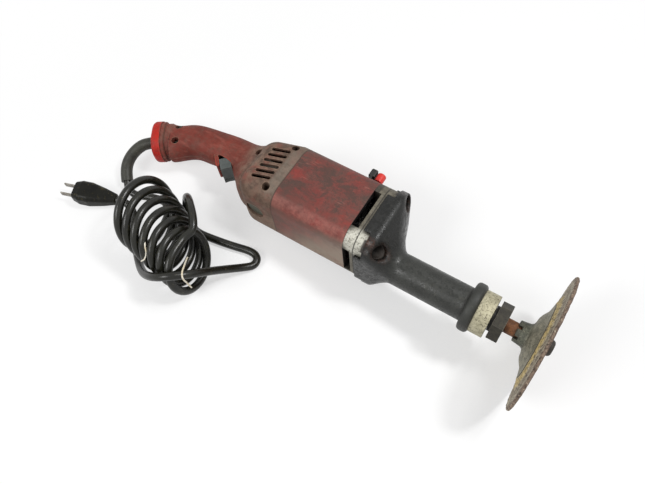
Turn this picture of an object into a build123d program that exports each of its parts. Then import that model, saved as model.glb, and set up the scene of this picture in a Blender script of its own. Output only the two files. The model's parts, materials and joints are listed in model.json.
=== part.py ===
from build123d import *
import os
from math import acos, asin, atan2, cos, degrees, hypot, pi, radians, sin, tan

# Straight grinder, lying on its side as it rests on a bench.
# Every piece is modelled along the motor axis: X runs towards the disc, the trigger is on the -Y side,
# the handle halves part on the plane Z = 0, and X = 0 is the seam behind the motor housing.
# The finished pieces are then laid down, so that the disc rim and the bell rest on the ground.

# Fits
fit_gap = 0.1
running_gap = 0.05
free_gap = 0.4
slide_gap = 0.2

# Motor housing
body_side = 88.0
body_corner = 21.5
sleeve_length = 93.0
motor_bore = 39.4
spigot_length = 6.0

# Diaphragm between the motor and the gear case
exhaust_depth = 12.5
diaphragm_plate = 4.0
post_size = 20.0
post_inside = 36.0

# Gears
gear_module = 1.25
pinion_teeth = 14
gear_teeth = 25
pressure_angle = radians(25)
gear_addendum = 0.9 * gear_module
gear_dedendum = 1.15 * gear_module
gear_backlash = 0.2
gear_width = 14.0
pinion_overhang = 1.5
gear_start = 4.0

# Gear case, spindle nose and rubber boot
boot_wall = 3.5
boot_tube_radius = 18.9
boot_start = 3.0
head_straight = 19.0
neck_front = 49.0
neck_lead = 0.75
neck_steps = 8
neck_sink = 0.8
collar_radius = 27.2
collar_length = 12.0
collar_front = 138.0
nose_radius = 23.6
nose_front = 153.5
case_wall = 5.0
case_depth = 22.5
case_pocket = 8.0
lug_place = 33.0
lug_depth = 11.5
lug_pocket = 8.0
boot_pocket = 9.0
scallop_place = 38.0
scallop_radius = 16.0
tube_bore = 11.0

# Screws of the gear case
case_screw_radius = 2.4
case_screw_grip = 20.0
case_screw_head_radius = 4.5
case_screw_head = 4.0
screw_slot_width = 1.2
screw_slot_depth = 1.3

# Bearings: bore radius, outer radius, width
arm_front_bearing = (6.0, 14.0, 8.0)
arm_rear_bearing = (5.0, 13.0, 8.0)
spindle_bushing = (5.0, 7.5, 10.0)
spindle_bearing = (8.5, 20.0, 12.0)
bearing_race = 2.5
bearing_groove = 0.6
seal_width = 3.0

# Spindle and what turns with it
spindle_thread_radius = 7.94
gear_seat_step = 0.5
slinger_radius = 14.0
slinger_width = 3.0
nut_across_flats = 37.0
nut_thickness = 11.9
nut_turn = 10.0
hub_radius = 12.0
hub_length = 14.0
hub_slots = 6
hub_slot_width = 4.0
hub_slot_depth = 4.0
shaft_showing = 13.5
flange_radius = 41.0
flange_rim = 3.0
flange_depth = 5.5
flange_pilot = 4.5
disc_radius = 74.5
disc_thickness = 5.0
disc_rim = 3.6
disc_dish = 3.0
disc_hole = 11.1
disc_flat = 44.0
disc_shoulder = 58.0
clamp_nut_radius = 12.0
clamp_nut_thickness = 6.0
spindle_tip = 2.0

# Armature and field
shaft_radius = 6.0
core_radius = 22.0
core_start = 8.0
core_slots = 12
core_slot_width = 3.0
core_slot_depth = 6.0
winding_radius = 20.0
winding_length = 8.0
commutator_radius = 15.0
commutator_start = -32.0
commutator_length = 20.0
commutator_grooves = 12
commutator_groove = 0.8
air_gap = 0.6
field_ring = 31.0
pole_spread = 55.0
coil_inner = 24.5
coil_outer = 30.5
coil_side = 33.0
coil_end = 7.5
fan_front_gap = 5.0
fan_rear_gap = 6.0
fan_width = 12.0
fan_radius = 30.0
fan_blades = 12
fan_plate = 2.5
fan_hub_radius = 10.0
fan_blade_width = 1.8

# Rear bearing bridge and brush gear
bridge_ring = 31.0
bridge_ring_depth = 5.0
bridge_leg_width = 12.0
bridge_leg_inner = 25.0
bridge_leg_outer = 33.0
bridge_hub_radius = 17.0
bridge_back = 2.0
brush_station = -27.0
brush_length = 7.0
brush_width = 6.0
brush_reach = 12.0
holder_wall = 1.5
holder_start = 17.5
holder_flange_depth = 1.2
brush_cap_radius = 12.0
brush_cap_depth = 2.5
brush_cap_recess = 3.5
brush_boss_wall = 2.2

# Rear bell and handle; the bell's far side runs in towards the grip, and the palm sections are given as
# (distance behind the seam, offset, width)
bell_depth = 52.0
bell_fillet = 20.0
bell_straight = 8.0
bell_taper = 12.5
handle_wall = 3.2
grip_y = 4.0
grip_width = 43.0
grip_height = 38.5
grip_corner = 17.0
root_width = 75.0
root_height = 60.0
root_corner = 22.0
root_offset = -4.5
waist_width = 55.0
waist_height = 44.0
waist_corner = 18.5
waist_offset = -1.3
throat_width = 42.2
throat_height = 40.0
throat_corner = 17.5
throat_offset = 4.1
root_station = 30.0
brow_station = 51.0
waist_station = 68.0
throat_station = 90.0
bend_station = 112.0
palm_sections = [(0, 2.1, 41.4), (0.28, 1.1, 40.4), (0.59, 0.1, 42.2)]
bend_radius = 115.0
bend_angle = radians(32)
grip_tail = 23.0
end_ring_length = 11.5
end_ring_flare = 3.1
end_ring_wall = 3.2
end_ring_edge = 4.5
rear_lip_length = 4.5
rear_lip_flare = 2.4

# Vent slots on the two flat faces of the bell
vent_count = 6
vent_pitch = 8.0
vent_length = 22.5
vent_width = 4.2
vent_station = -24.5
vent_turn = 17.0
vent_middle = -2.2

# Handle screws, as (distance behind the seam, offset from the middle line of the grip)
handle_screw_places = [(13.0, -33.5), (13.0, 25.5), (55.0, 8.0), (168.0, -11.2), (168.0, 11.2)]
handle_screw_radius = 2.0
handle_screw_head_radius = 3.8
handle_screw_head = 3.0
handle_boss_radius = 5.5
handle_recess_radius = 4.6
handle_screw_seat = 8.0
handle_screw_length = 20.0

# Trigger, in a frame whose p axis points out of the handle and q axis towards the bell
trigger_slant = radians(45)
trigger_tip = -44.5
trigger_root = -60.0
trigger_low = -79.3
trigger_high = -66.0
trigger_width = 28.0
trigger_travel = 6.0
trigger_scoop = 0.8
trigger_lip = 3.5
trigger_rib = 1.0
trigger_ribs = 2
trigger_run_out = 16.0
guard_wall = 4.5
guard_back = 8.0
guard_depth = 20.0
guard_width = 26.0
guard_round = 2.0

# Switch and cord clamp inside the handle
switch_length = 26.0
switch_height = 13.0
switch_width = 21.0
switch_station = 93.0
switch_floor = 5.5
switch_pad = 12.0
clamp_length = 9.0
clamp_width = 24.0
clamp_height = 20.0
clamp_distance = 177.0

# Spindle lock on the far side of the sleeve
lock_place = 11.5
lock_height = 15.0
lock_cap_radius = 5.2
lock_cap_length = 11.0
lock_cap_edge = 1.2
lock_stem_radius = 2.5
lock_travel = 5.0
lock_cap_clear = 1.5
lock_tip = 8.0
lock_bracket_length = 13.0
lock_bracket_width = 10.0
lock_bracket_thick = 3.0
lock_bracket_rise = 19.0
lock_head_length = 8.0
lock_head_rise = 10.0
lock_head_edge = 2.0

# Cord, in a bench frame: X = 0 at the seam, Y = 0 on the motor axis, Z = 0 on the ground
protector_radius = 7.2
cord_radius = 4.75
bend_share = 0.45
protector_exit = 25.0
protector_bends = [(-209, -45.5, 25), (-211, -60, 19.5), (-207, -73, 13.5)]
protector_end = (-198, -82.5, 9.5)
straight_run = 9.5
lead_bends = [(-181, -91.5, 5), (-168.5, -86, 4.75), (-153, -79.5, 4.75), (-138.5, -79, 4.75)]
tail_arch = [
    (-62.5, -107.5, 62.5),
    (-69.5, -97.5, 65),
    (-80.5, -87.5, 64),
    (-93, -78, 57),
    (-105, -70.5, 43),
]
tail_drop = [(-112, -68, 27), (-111, -74.5, 12.5), (-101, -85, 5.4), (-84, -91, 4.75), (-60, -87, 4.75)]
tail_fold = [(-36, -82, 4.75), (-13, -75.5, 4.75), (-2, -79, 4.75), (0, -89.5, 5), (-9, -100, 9.5)]
tail_front = [(-18, -112.5, 19), (-25, -126, 33), (-31.5, -140.5, 48), (-40, -154.5, 59), (-53, -166.5, 62)]
tail_curl = [(-69, -173, 52.5), (-87.5, -172.5, 34.5), (-105.5, -165.5, 16.5), (-121, -155.5, 6)]
tail_plug = [(-134.5, -144.5, 4.75), (-147.5, -131, 4.75), (-158.5, -119, 5), (-168.5, -108.5, 7.5)]
tail_end = (-191, -110.4, 12)

# Coil of cord: leaning loops that shrink from the handle's side towards the free end
coil_turns = 6.5
coil_start = Vector(-136.4, -112.8)
coil_stop = Vector(-50.8, -135.8)
coil_radius_start = 42.0
coil_radius_stop = 31.5
coil_heading_start = radians(12.3)
coil_heading_stop = radians(9.9)
coil_lean_start = radians(19.5)
coil_lean_stop = radians(26.7)
coil_steps = 4
coil_samples = 60

# Plug, as (distance from the cord, width, height) of its sections
plug_sections = [(0, 12, 12), (15, 20, 18), (32, 27, 22), (44, 27, 22), (52, 22, 18)]
plug_corner = 0.3
plug_direction = Vector(-0.935, -0.35, 0.02)
blade_width = 6.35
blade_thickness = 1.5
blade_length = 16.5
blade_spacing = 12.7

# Stations worked out from the sizes above
half_side = body_side / 2
lock_station = sleeve_length - lock_place
lock_lift = lock_travel + lock_cap_clear
case_rear = sleeve_length + exhaust_depth
plate_rear = case_rear - diaphragm_plate
spindle_y = -gear_module * (pinion_teeth + gear_teeth) / 2
gear_rear = case_rear + gear_start
gear_front = gear_rear + gear_width
collar_end = case_rear + collar_front
collar_start = collar_end - collar_length
nose_start = collar_start + boot_wall
nose_end = case_rear + nose_front
seal_start = nose_end - seal_width
bearing_start = seal_start - spindle_bearing[2]
slinger_start = nose_end + free_gap
nut_start = slinger_start + slinger_width
nut_end = nut_start + nut_thickness
hub_start = nut_end + shaft_showing
flange_start = hub_start + hub_length
flange_end = flange_start + flange_depth
disc_front = flange_end + disc_thickness
clamp_nut_end = disc_front + clamp_nut_thickness
spindle_end = clamp_nut_end + spindle_tip
fan_start = sleeve_length - fan_front_gap - fan_width
core_end = fan_start - fan_rear_gap - winding_length
core_length = core_end - core_start
bridge_rear = commutator_start - bearing_race - arm_rear_bearing[2] - bridge_back
spigot_side = body_side - 2 * handle_wall
spigot_corner = body_corner - handle_wall
grip_arc = bend_radius * bend_angle
grip_length = bend_station + grip_arc + grip_tail
motor_axis = Axis((0, 0, 0), (1, 0, 0))
spindle_axis = Axis((0, spindle_y, 0), (1, 0, 0))
os.makedirs("parts", exist_ok=True)
finished = {}


def across(station, axis_y=0.0):
    """Plane square to the tool at a station, with its x axis along Y and its y axis along Z."""
    return Plane((station, axis_y, 0), x_dir=(0, 1, 0), z_dir=(1, 0, 0))


def grip_plane(distance):
    """Plane square to the bent grip, at a distance behind the seam measured along its middle line."""
    angle = min(max(distance - bend_station, 0) / bend_radius, bend_angle)
    past = max(distance - bend_station - grip_arc, 0)
    straight = min(distance, bend_station)
    x = -straight - bend_radius * sin(angle) - past * cos(angle)
    y = grip_y - bend_radius * (1 - cos(angle)) - past * sin(angle)
    return Plane((x, y, 0), x_dir=(-sin(angle), cos(angle), 0), z_dir=(-cos(angle), -sin(angle), 0))


def turned(outline, axis=motor_axis):
    """Solid of revolution from (station, radius) corners."""
    with BuildPart() as piece:
        with BuildSketch(Plane.XY):
            with BuildLine():
                Polyline(*[(x, axis.position.Y + r) for x, r in outline], close=True)
            make_face()
        revolve(axis=axis)
    return piece.part


def ring(start, end, inner, outer, axis=motor_axis):
    return turned([(start, inner), (end, inner), (end, outer), (start, outer)], axis)


def bearing(start, sizes, axis):
    """Ball bearing drawn as one ring, with the grooves that part its races from its shields."""
    bore, outer, width = sizes
    end = start + width
    shield_in = bore + bearing_race
    shield_out = outer - bearing_race
    return turned(
        [
            (start, bore + running_gap),
            (end, bore + running_gap),
            (end, shield_in),
            (end - bearing_groove, shield_in),
            (end - bearing_groove, shield_out),
            (end, shield_out),
            (end, outer),
            (start, outer),
            (start, shield_out),
            (start + bearing_groove, shield_out),
            (start + bearing_groove, shield_in),
            (start, shield_in),
        ],
        axis,
    )


def mixed(start, stop, share):
    return start + (stop - start) * share


def polar(radius, angle):
    return (radius * cos(angle), radius * sin(angle))


def spur_gear(teeth, start, width, bore, axis_y, first_gap):
    """Involute spur gear; first_gap 0 puts a tooth on the Y axis, 0.5 puts a gap there."""
    pitch = gear_module * teeth / 2
    base = pitch * cos(pressure_angle)
    tip = pitch + gear_addendum
    root = pitch - gear_dedendum
    thinning = gear_backlash / (4 * pitch)
    half_tooth = pi / (2 * teeth) - thinning + tan(pressure_angle) - pressure_angle

    def spread(radius):
        roll = acos(min(base / radius, 1.0))
        return half_tooth - tan(roll) + roll

    with BuildPart() as wheel:
        with BuildSketch(across(start, axis_y)):
            with BuildLine():
                for tooth in range(teeth):
                    middle = 2 * pi * (tooth + first_gap) / teeth
                    following = middle + 2 * pi / teeth
                    low = [polar(r, middle - spread(r)) for r in (root, pitch, tip)]
                    high = [polar(r, middle + spread(r)) for r in (tip, pitch, root)]
                    ThreePointArc(*low)
                    ThreePointArc(low[2], polar(tip, middle), high[0])
                    ThreePointArc(*high)
                    gap_middle = polar(root, (middle + following) / 2)
                    ThreePointArc(high[2], gap_middle, polar(root, following - spread(root)))
            make_face()
            Circle(bore, mode=Mode.SUBTRACT)
        extrude(amount=width)
    return wheel.part


def screw(place, axis, radius, length, head_radius, head):
    """Slotted screw: its seat is at place, its head stands along axis and its shank runs the other way."""
    seat = Plane(place, z_dir=axis)
    with BuildPart() as piece:
        with BuildSketch(seat):
            Circle(head_radius)
        extrude(amount=head)
        with BuildSketch(seat.offset(head)):
            Rectangle(2 * head_radius, screw_slot_width)
        extrude(amount=-screw_slot_depth, mode=Mode.SUBTRACT)
        with BuildSketch(seat):
            Circle(radius)
        extrude(amount=-length)
    return piece.part


def gather(pieces):
    """Like pieces that share one name."""
    with BuildPart() as group:
        for piece in pieces:
            add(piece)
    return group.part


def keep(label, part):
    """Adds a finished piece, still lying along the motor axis."""
    part.label = label
    finished[label] = part


# Motor housing: square sleeve with a spigot for the bell, threaded at its front corners
with BuildPart() as motor_housing:
    with BuildSketch(across(0)):
        RectangleRounded(body_side, body_side, body_corner)
    extrude(amount=sleeve_length)
    with BuildSketch(across(0)):
        RectangleRounded(spigot_side - 2 * fit_gap, spigot_side - 2 * fit_gap, spigot_corner)
    extrude(amount=-spigot_length)
    with BuildSketch(across(-spigot_length)):
        Circle(motor_bore)
    extrude(amount=sleeve_length + spigot_length, mode=Mode.SUBTRACT)
    with BuildSketch(across(sleeve_length)):
        with GridLocations(2 * lug_place, 2 * lug_place, 2, 2):
            Circle(case_screw_radius)
    extrude(amount=-case_screw_grip, mode=Mode.SUBTRACT)
    with BuildSketch(Plane((lock_station, half_side, lock_height), z_dir=(0, 1, 0))):
        Circle(lock_stem_radius + running_gap)
    extrude(amount=-half_side / 2, mode=Mode.SUBTRACT)
keep("motor_housing", motor_housing.part)

# Diaphragm: plate with four corner posts, so that the exhaust leaves between them
with BuildPart() as diaphragm:
    with BuildSketch(across(plate_rear)):
        RectangleRounded(body_side, body_side, body_corner)
    extrude(amount=diaphragm_plate)
    with BuildSketch(across(sleeve_length)):
        RectangleRounded(body_side, body_side, body_corner)
        with GridLocations(body_side - post_size, body_side - post_size, 2, 2):
            Rectangle(post_size, post_size, mode=Mode.INTERSECT)
        Circle(post_inside, mode=Mode.SUBTRACT)
    extrude(amount=plate_rear - sleeve_length)
    cup_start = case_rear - arm_front_bearing[2]
    bush_start = case_rear - spindle_bushing[2]
    with BuildSketch(across(cup_start - bearing_race)):
        Circle(arm_front_bearing[1] + handle_wall)
        with Locations((spindle_y, 0)):
            Circle(spindle_bushing[1] + handle_wall)
    extrude(amount=plate_rear - cup_start + bearing_race)
    with BuildSketch(across(cup_start)):
        Circle(arm_front_bearing[1] + fit_gap)
    extrude(amount=arm_front_bearing[2], mode=Mode.SUBTRACT)
    with BuildSketch(across(bush_start)):
        with Locations((spindle_y, 0)):
            Circle(spindle_bushing[1] + fit_gap)
    extrude(amount=spindle_bushing[2], mode=Mode.SUBTRACT)
    with BuildSketch(across(cup_start - bearing_race)):
        Circle(shaft_radius + free_gap)
    extrude(amount=bearing_race, mode=Mode.SUBTRACT)
    with BuildSketch(across(sleeve_length)):
        with GridLocations(2 * lug_place, 2 * lug_place, 2, 2):
            Circle(case_screw_radius + fit_gap)
    extrude(amount=exhaust_depth, mode=Mode.SUBTRACT)
keep("diaphragm", diaphragm.part)


def trumpet(inset):
    """Square gear head that runs out in a hollow curve to the round spindle tube."""
    half = half_side + boot_wall - inset
    corner = body_corner + boot_wall - inset
    tube = boot_tube_radius - inset
    throat = tube - neck_sink
    with BuildPart() as head:
        with BuildSketch(across(case_rear)):
            RectangleRounded(2 * half, 2 * half, corner)
        extrude(amount=head_straight - inset)
        for step in range(neck_steps + 1):
            share = step / neck_steps
            fall = (1 - cos(pi * share**neck_lead)) / 2
            near = mixed(-half, spindle_y - throat, fall)
            far = mixed(half, spindle_y + throat, fall)
            top = mixed(half, throat, fall)
            with BuildSketch(across(case_rear + mixed(head_straight, neck_front, share) - inset)):
                with Locations(((near + far) / 2, 0)):
                    RectangleRounded(far - near, 2 * top, mixed(corner, throat - neck_sink, fall))
        loft()
        add(ring(case_rear, collar_end, 0, tube, spindle_axis))
    return head.part


# Gear case: hollow head with screw lugs at its corners, spindle tube and bare round nose
with BuildPart() as gear_case:
    add(trumpet(boot_wall))
    add(ring(nose_start, nose_end, 0, nose_radius, spindle_axis))
    with BuildSketch(across(case_rear)):
        RectangleRounded(body_side - 2 * case_wall, body_side - 2 * case_wall, body_corner - case_wall)
        with GridLocations(2 * lug_place, 2 * lug_place, 2, 2):
            Circle(lug_pocket, mode=Mode.SUBTRACT)
    extrude(amount=case_pocket, mode=Mode.SUBTRACT)
    with BuildSketch(across(case_rear)):
        Circle(gear_module * pinion_teeth / 2 + gear_addendum + 2 * free_gap)
        with Locations((spindle_y, 0)):
            Circle(gear_module * gear_teeth / 2 + gear_addendum + 2 * free_gap)
    extrude(amount=case_depth, mode=Mode.SUBTRACT)
    with BuildSketch(across(case_rear, spindle_y)):
        Circle(tube_bore)
    extrude(amount=nose_front, mode=Mode.SUBTRACT)
    with BuildSketch(across(bearing_start, spindle_y)):
        Circle(spindle_bearing[1] + fit_gap)
    extrude(amount=nose_end - bearing_start, mode=Mode.SUBTRACT)
    with BuildSketch(across(case_rear + lug_depth)):
        with GridLocations(2 * lug_place, 2 * lug_place, 2, 2):
            Circle(lug_pocket)
    extrude(amount=body_side, mode=Mode.SUBTRACT)
    with BuildSketch(across(case_rear)):
        with GridLocations(2 * lug_place, 2 * lug_place, 2, 2):
            Circle(case_screw_radius + fit_gap)
    extrude(amount=lug_depth, mode=Mode.SUBTRACT)
keep("gear_case", gear_case.part)

# Rubber boot over the gear case, open at the four screw lugs, ending in a rolled collar
with BuildPart() as rubber_boot:
    add(trumpet(0))
    add(ring(collar_start, collar_end, 0, collar_radius, spindle_axis))
    circles = edges().filter_by(GeomType.CIRCLE)
    rims = circles.filter_by(lambda rim: abs(rim.radius - collar_radius) < fit_gap)
    fillet(rims, collar_length / 3)
    add(trumpet(boot_wall), mode=Mode.SUBTRACT)
    add(ring(nose_start, collar_end, 0, nose_radius, spindle_axis), mode=Mode.SUBTRACT)
    with BuildSketch(across(case_rear)):
        with GridLocations(2 * lug_place, 2 * lug_place, 2, 2):
            Circle(boot_pocket)
    extrude(amount=body_side, mode=Mode.SUBTRACT)
    with BuildSketch(across(case_rear)):
        with GridLocations(2 * scallop_place, 2 * scallop_place, 2, 2):
            Circle(scallop_radius)
    extrude(amount=lug_depth, mode=Mode.SUBTRACT)
    with BuildSketch(across(case_rear)):
        Rectangle(2 * body_side, 2 * body_side)
    extrude(amount=boot_start, mode=Mode.SUBTRACT)
keep("rubber_boot", rubber_boot.part)

# Screws that hold the gear case and the diaphragm to the sleeve
case_screw_seat = case_rear + lug_depth
case_screw_length = case_screw_seat - sleeve_length + case_screw_grip - free_gap
case_screw_places = [(y, z) for y in (-lug_place, lug_place) for z in (-lug_place, lug_place)]
gear_case_screws = gather(
    [
        screw(
            (case_screw_seat, y, z),
            (1, 0, 0),
            case_screw_radius - fit_gap,
            case_screw_length,
            case_screw_head_radius,
            case_screw_head,
        )
        for y, z in case_screw_places
    ]
)
keep("gear_case_screws", gear_case_screws)

# Bearings and the nose seal
keep("armature_front_bearing", bearing(cup_start, arm_front_bearing, motor_axis))
rear_bearing_start = bridge_rear + bridge_back
keep("armature_rear_bearing", bearing(rear_bearing_start, arm_rear_bearing, motor_axis))
bush_bore = spindle_bushing[0] + running_gap
keep("spindle_rear_bushing", ring(bush_start, case_rear, bush_bore, spindle_bushing[1], spindle_axis))
keep("spindle_front_bearing", bearing(bearing_start, spindle_bearing, spindle_axis))
seal_bore = spindle_bearing[0] + running_gap
keep("nose_seal", ring(seal_start, nose_end, seal_bore, spindle_bearing[1], spindle_axis))

# Armature: shaft, core, end windings, commutator, fan and pinion
pinion_start = gear_rear - pinion_overhang
pinion_width = gear_width + 2 * pinion_overhang
pinion_bore = arm_rear_bearing[0]
keep(
    "armature_shaft",
    turned(
        [
            (rear_bearing_start, 0),
            (pinion_start + pinion_width, 0),
            (pinion_start + pinion_width, pinion_bore),
            (case_rear, pinion_bore),
            (case_rear, shaft_radius),
            (commutator_start, shaft_radius),
            (commutator_start, arm_rear_bearing[0]),
            (rear_bearing_start, arm_rear_bearing[0]),
        ]
    ),
)
with BuildPart() as armature_core:
    with BuildSketch(across(core_start)):
        Circle(core_radius)
        with PolarLocations(core_radius, core_slots):
            Rectangle(2 * core_slot_depth, core_slot_width, mode=Mode.SUBTRACT)
        Circle(shaft_radius, mode=Mode.SUBTRACT)
    extrude(amount=core_length)
keep("armature_core", armature_core.part)


def end_winding(start):
    """Bulging ring of wire ends beside the core."""
    end = start + winding_length
    crown = winding_length / 4
    return turned(
        [
            (start, shaft_radius + free_gap),
            (end, shaft_radius + free_gap),
            (end, winding_radius - crown),
            (end - crown, winding_radius),
            (start + crown, winding_radius),
            (start, winding_radius - crown),
        ]
    )


winding_ends = [end_winding(core_start - winding_length), end_winding(core_end)]
keep("armature_windings", gather(winding_ends))
with BuildPart() as commutator:
    with BuildSketch(across(commutator_start)):
        Circle(commutator_radius)
        with PolarLocations(commutator_radius, commutator_grooves):
            Rectangle(2 * commutator_groove, commutator_groove, mode=Mode.SUBTRACT)
        Circle(shaft_radius, mode=Mode.SUBTRACT)
    extrude(amount=commutator_length)
keep("commutator", commutator.part)
with BuildPart() as fan:
    with BuildSketch(across(fan_start)):
        Circle(fan_radius)
    extrude(amount=fan_plate)
    with BuildSketch(across(fan_start)):
        Circle(fan_hub_radius)
        with PolarLocations((fan_radius + fan_hub_radius) / 2 - fan_blade_width, fan_blades):
            Rectangle(fan_radius - fan_hub_radius, fan_blade_width)
    extrude(amount=fan_width)
    with BuildSketch(across(fan_start)):
        Circle(shaft_radius)
    extrude(amount=fan_width, mode=Mode.SUBTRACT)
keep("fan", fan.part)
keep("pinion", spur_gear(pinion_teeth, pinion_start, pinion_width, pinion_bore, 0, 0))

# Field: laminated ring with two poles, and a coil round each pole
with BuildPart() as field_stator:
    with BuildSketch(across(core_start)):
        Circle(motor_bore - fit_gap)
        Circle(field_ring, mode=Mode.SUBTRACT)
    extrude(amount=core_length)
    with BuildSketch(across(core_start)):
        with BuildLine():
            reach = field_ring + air_gap
            Polyline(
                polar(reach, radians(90 - pole_spread)),
                polar(core_radius + air_gap, radians(90 - pole_spread)),
            )
            ThreePointArc(
                polar(core_radius + air_gap, radians(90 - pole_spread)),
                (0, core_radius + air_gap),
                polar(core_radius + air_gap, radians(90 + pole_spread)),
            )
            Polyline(
                polar(core_radius + air_gap, radians(90 + pole_spread)),
                polar(reach, radians(90 + pole_spread)),
            )
            ThreePointArc(
                polar(reach, radians(90 + pole_spread)),
                (0, reach),
                polar(reach, radians(90 - pole_spread)),
            )
        pole = make_face()
        mirror(pole, about=Plane.XZ)
    extrude(amount=core_length)
keep("field_stator", field_stator.part)


def field_coil(side):
    """Coil round one pole: two straight sides between the poles, joined by an arc at each end."""
    end_depth = coil_end - free_gap
    with BuildPart() as coil:
        with BuildSketch(across(core_start - coil_end)):
            Circle(coil_outer)
            with BuildLine():
                Polyline(
                    (0, 0),
                    (coil_outer / tan(radians(coil_side)), side * coil_outer),
                    (coil_outer / tan(radians(coil_side)), side * free_gap),
                    close=True,
                )
            half = make_face(mode=Mode.PRIVATE)
            add(half, mode=Mode.INTERSECT)
            mirror(about=Plane.YZ)
            Circle(coil_inner, mode=Mode.SUBTRACT)
        extrude(amount=core_length + 2 * coil_end)
        for start in (core_start - coil_end, core_end + free_gap):
            with BuildSketch(across(start)):
                Circle(coil_outer)
                with Locations((0, side * (coil_outer + free_gap))):
                    Rectangle(2 * coil_outer, 2 * coil_outer, mode=Mode.INTERSECT)
                Circle(coil_inner, mode=Mode.SUBTRACT)
            extrude(amount=end_depth)
    return coil.part


keep("field_coils", gather([field_coil(1), field_coil(-1)]))


# Rear bearing bridge: ring in the spigot, two legs and a hub for the rear bearing
with BuildPart() as rear_bearing_bridge:
    with BuildSketch(across(-spigot_length)):
        Circle(motor_bore - fit_gap)
        Circle(bridge_ring, mode=Mode.SUBTRACT)
    extrude(amount=bridge_ring_depth)
    leg_height = bridge_leg_outer - bridge_leg_inner
    leg_middle = (bridge_leg_outer + bridge_leg_inner) / 2
    with BuildSketch(across(bridge_rear)):
        with Locations((0, leg_middle), (0, -leg_middle)):
            Rectangle(bridge_leg_width, leg_height)
    extrude(amount=bridge_ring_depth - spigot_length - bridge_rear)
    with BuildSketch(across(bridge_rear)):
        Rectangle(bridge_leg_width, 2 * bridge_leg_outer)
        Circle(bridge_hub_radius)
    extrude(amount=bridge_back + arm_rear_bearing[2])
    with BuildSketch(across(rear_bearing_start)):
        Circle(arm_rear_bearing[1] + fit_gap)
    extrude(amount=arm_rear_bearing[2], mode=Mode.SUBTRACT)
    with BuildSketch(across(bridge_rear)):
        Circle(arm_rear_bearing[0] + bearing_race)
    extrude(amount=bridge_back, mode=Mode.SUBTRACT)
keep("rear_bearing_bridge", rear_bearing_bridge.part)

# Brush gear: square holders with a round flange in the bell wall, brushes, and slotted caps
cap_end = half_side - brush_cap_recess
holder_end = cap_end - brush_cap_depth
brush_boss_start = holder_end - 2 * holder_flange_depth


def brush_plane(side, reach):
    """Plane square to a brush, looking outwards, at a distance from the motor axis."""
    return Plane((brush_station, side * reach, 0), x_dir=(1, 0, 0), z_dir=(0, side, 0))


def brush_holder(side):
    with BuildPart() as holder:
        with BuildSketch(brush_plane(side, holder_start)):
            Rectangle(brush_length + 2 * holder_wall, brush_width + 2 * holder_wall)
        extrude(amount=holder_end - holder_start)
        with BuildSketch(brush_plane(side, holder_end)):
            Circle(brush_cap_radius)
        extrude(amount=-holder_flange_depth)
        with BuildSketch(brush_plane(side, holder_start)):
            Rectangle(brush_length + 2 * fit_gap, brush_width + 2 * fit_gap)
        extrude(amount=holder_end - holder_start, mode=Mode.SUBTRACT)
    return holder.part


def carbon_brush(side):
    with BuildPart() as brush:
        with BuildSketch(brush_plane(side, commutator_radius - bearing_race)):
            Rectangle(brush_length, brush_width)
        extrude(amount=brush_reach + bearing_race)
        with BuildSketch(across(commutator_start)):
            Circle(commutator_radius + running_gap)
        extrude(amount=commutator_length, mode=Mode.SUBTRACT)
    return brush.part


def brush_cap(side):
    with BuildPart() as cap:
        with BuildSketch(brush_plane(side, holder_end)):
            Circle(brush_cap_radius)
        extrude(amount=brush_cap_depth)
        with BuildSketch(brush_plane(side, cap_end)):
            Rectangle(brush_cap_radius, screw_slot_width)
        extrude(amount=-brush_cap_depth / 2, mode=Mode.SUBTRACT)
    return cap.part


keep("brush_holders", gather([brush_holder(1), brush_holder(-1)]))
keep("carbon_brushes", gather([carbon_brush(1), carbon_brush(-1)]))
keep("brush_caps", gather([brush_cap(1), brush_cap(-1)]))

# Spindle: rear journal, gear seat, bearing length and threaded front
gear_seat = spindle_bearing[0] - gear_seat_step
spindle_step = case_rear + gear_start / 2
keep(
    "spindle",
    turned(
        [
            (bush_start, 0),
            (spindle_end, 0),
            (spindle_end, spindle_thread_radius),
            (nut_start, spindle_thread_radius),
            (nut_start, spindle_bearing[0]),
            (gear_front, spindle_bearing[0]),
            (gear_front, gear_seat),
            (spindle_step, gear_seat),
            (spindle_step, spindle_bushing[0]),
            (bush_start, spindle_bushing[0]),
        ],
        spindle_axis,
    ),
)
keep("spindle_gear", spur_gear(gear_teeth, gear_rear, gear_width, gear_seat, spindle_y, 0.5))
keep("dust_slinger", ring(slinger_start, nut_start, spindle_bearing[0], slinger_radius, spindle_axis))
with BuildPart() as hex_nut:
    with BuildSketch(across(nut_start, spindle_y)):
        RegularPolygon(nut_across_flats / 2, 6, major_radius=False, rotation=nut_turn)
        Circle(spindle_thread_radius, mode=Mode.SUBTRACT)
    extrude(amount=nut_thickness)
keep("hex_nut", hex_nut.part)

# Backing flange: slotted hub, cone and a pilot for the disc
with BuildPart() as backing_flange:
    add(
        turned(
            [
                (hub_start, spindle_thread_radius),
                (flange_end + flange_pilot, spindle_thread_radius),
                (flange_end + flange_pilot, disc_hole - fit_gap),
                (flange_end, disc_hole - fit_gap),
                (flange_end, flange_radius),
                (flange_end - flange_rim, flange_radius),
                (flange_start, hub_radius),
                (hub_start, hub_radius),
            ],
            spindle_axis,
        )
    )
    with BuildSketch(across(hub_start, spindle_y)):
        with PolarLocations(hub_radius, hub_slots):
            Rectangle(hub_radius, hub_slot_width)
        Circle(spindle_thread_radius + free_gap, mode=Mode.SUBTRACT)
    extrude(amount=hub_slot_depth, mode=Mode.SUBTRACT)
keep("backing_flange", backing_flange.part)

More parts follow.
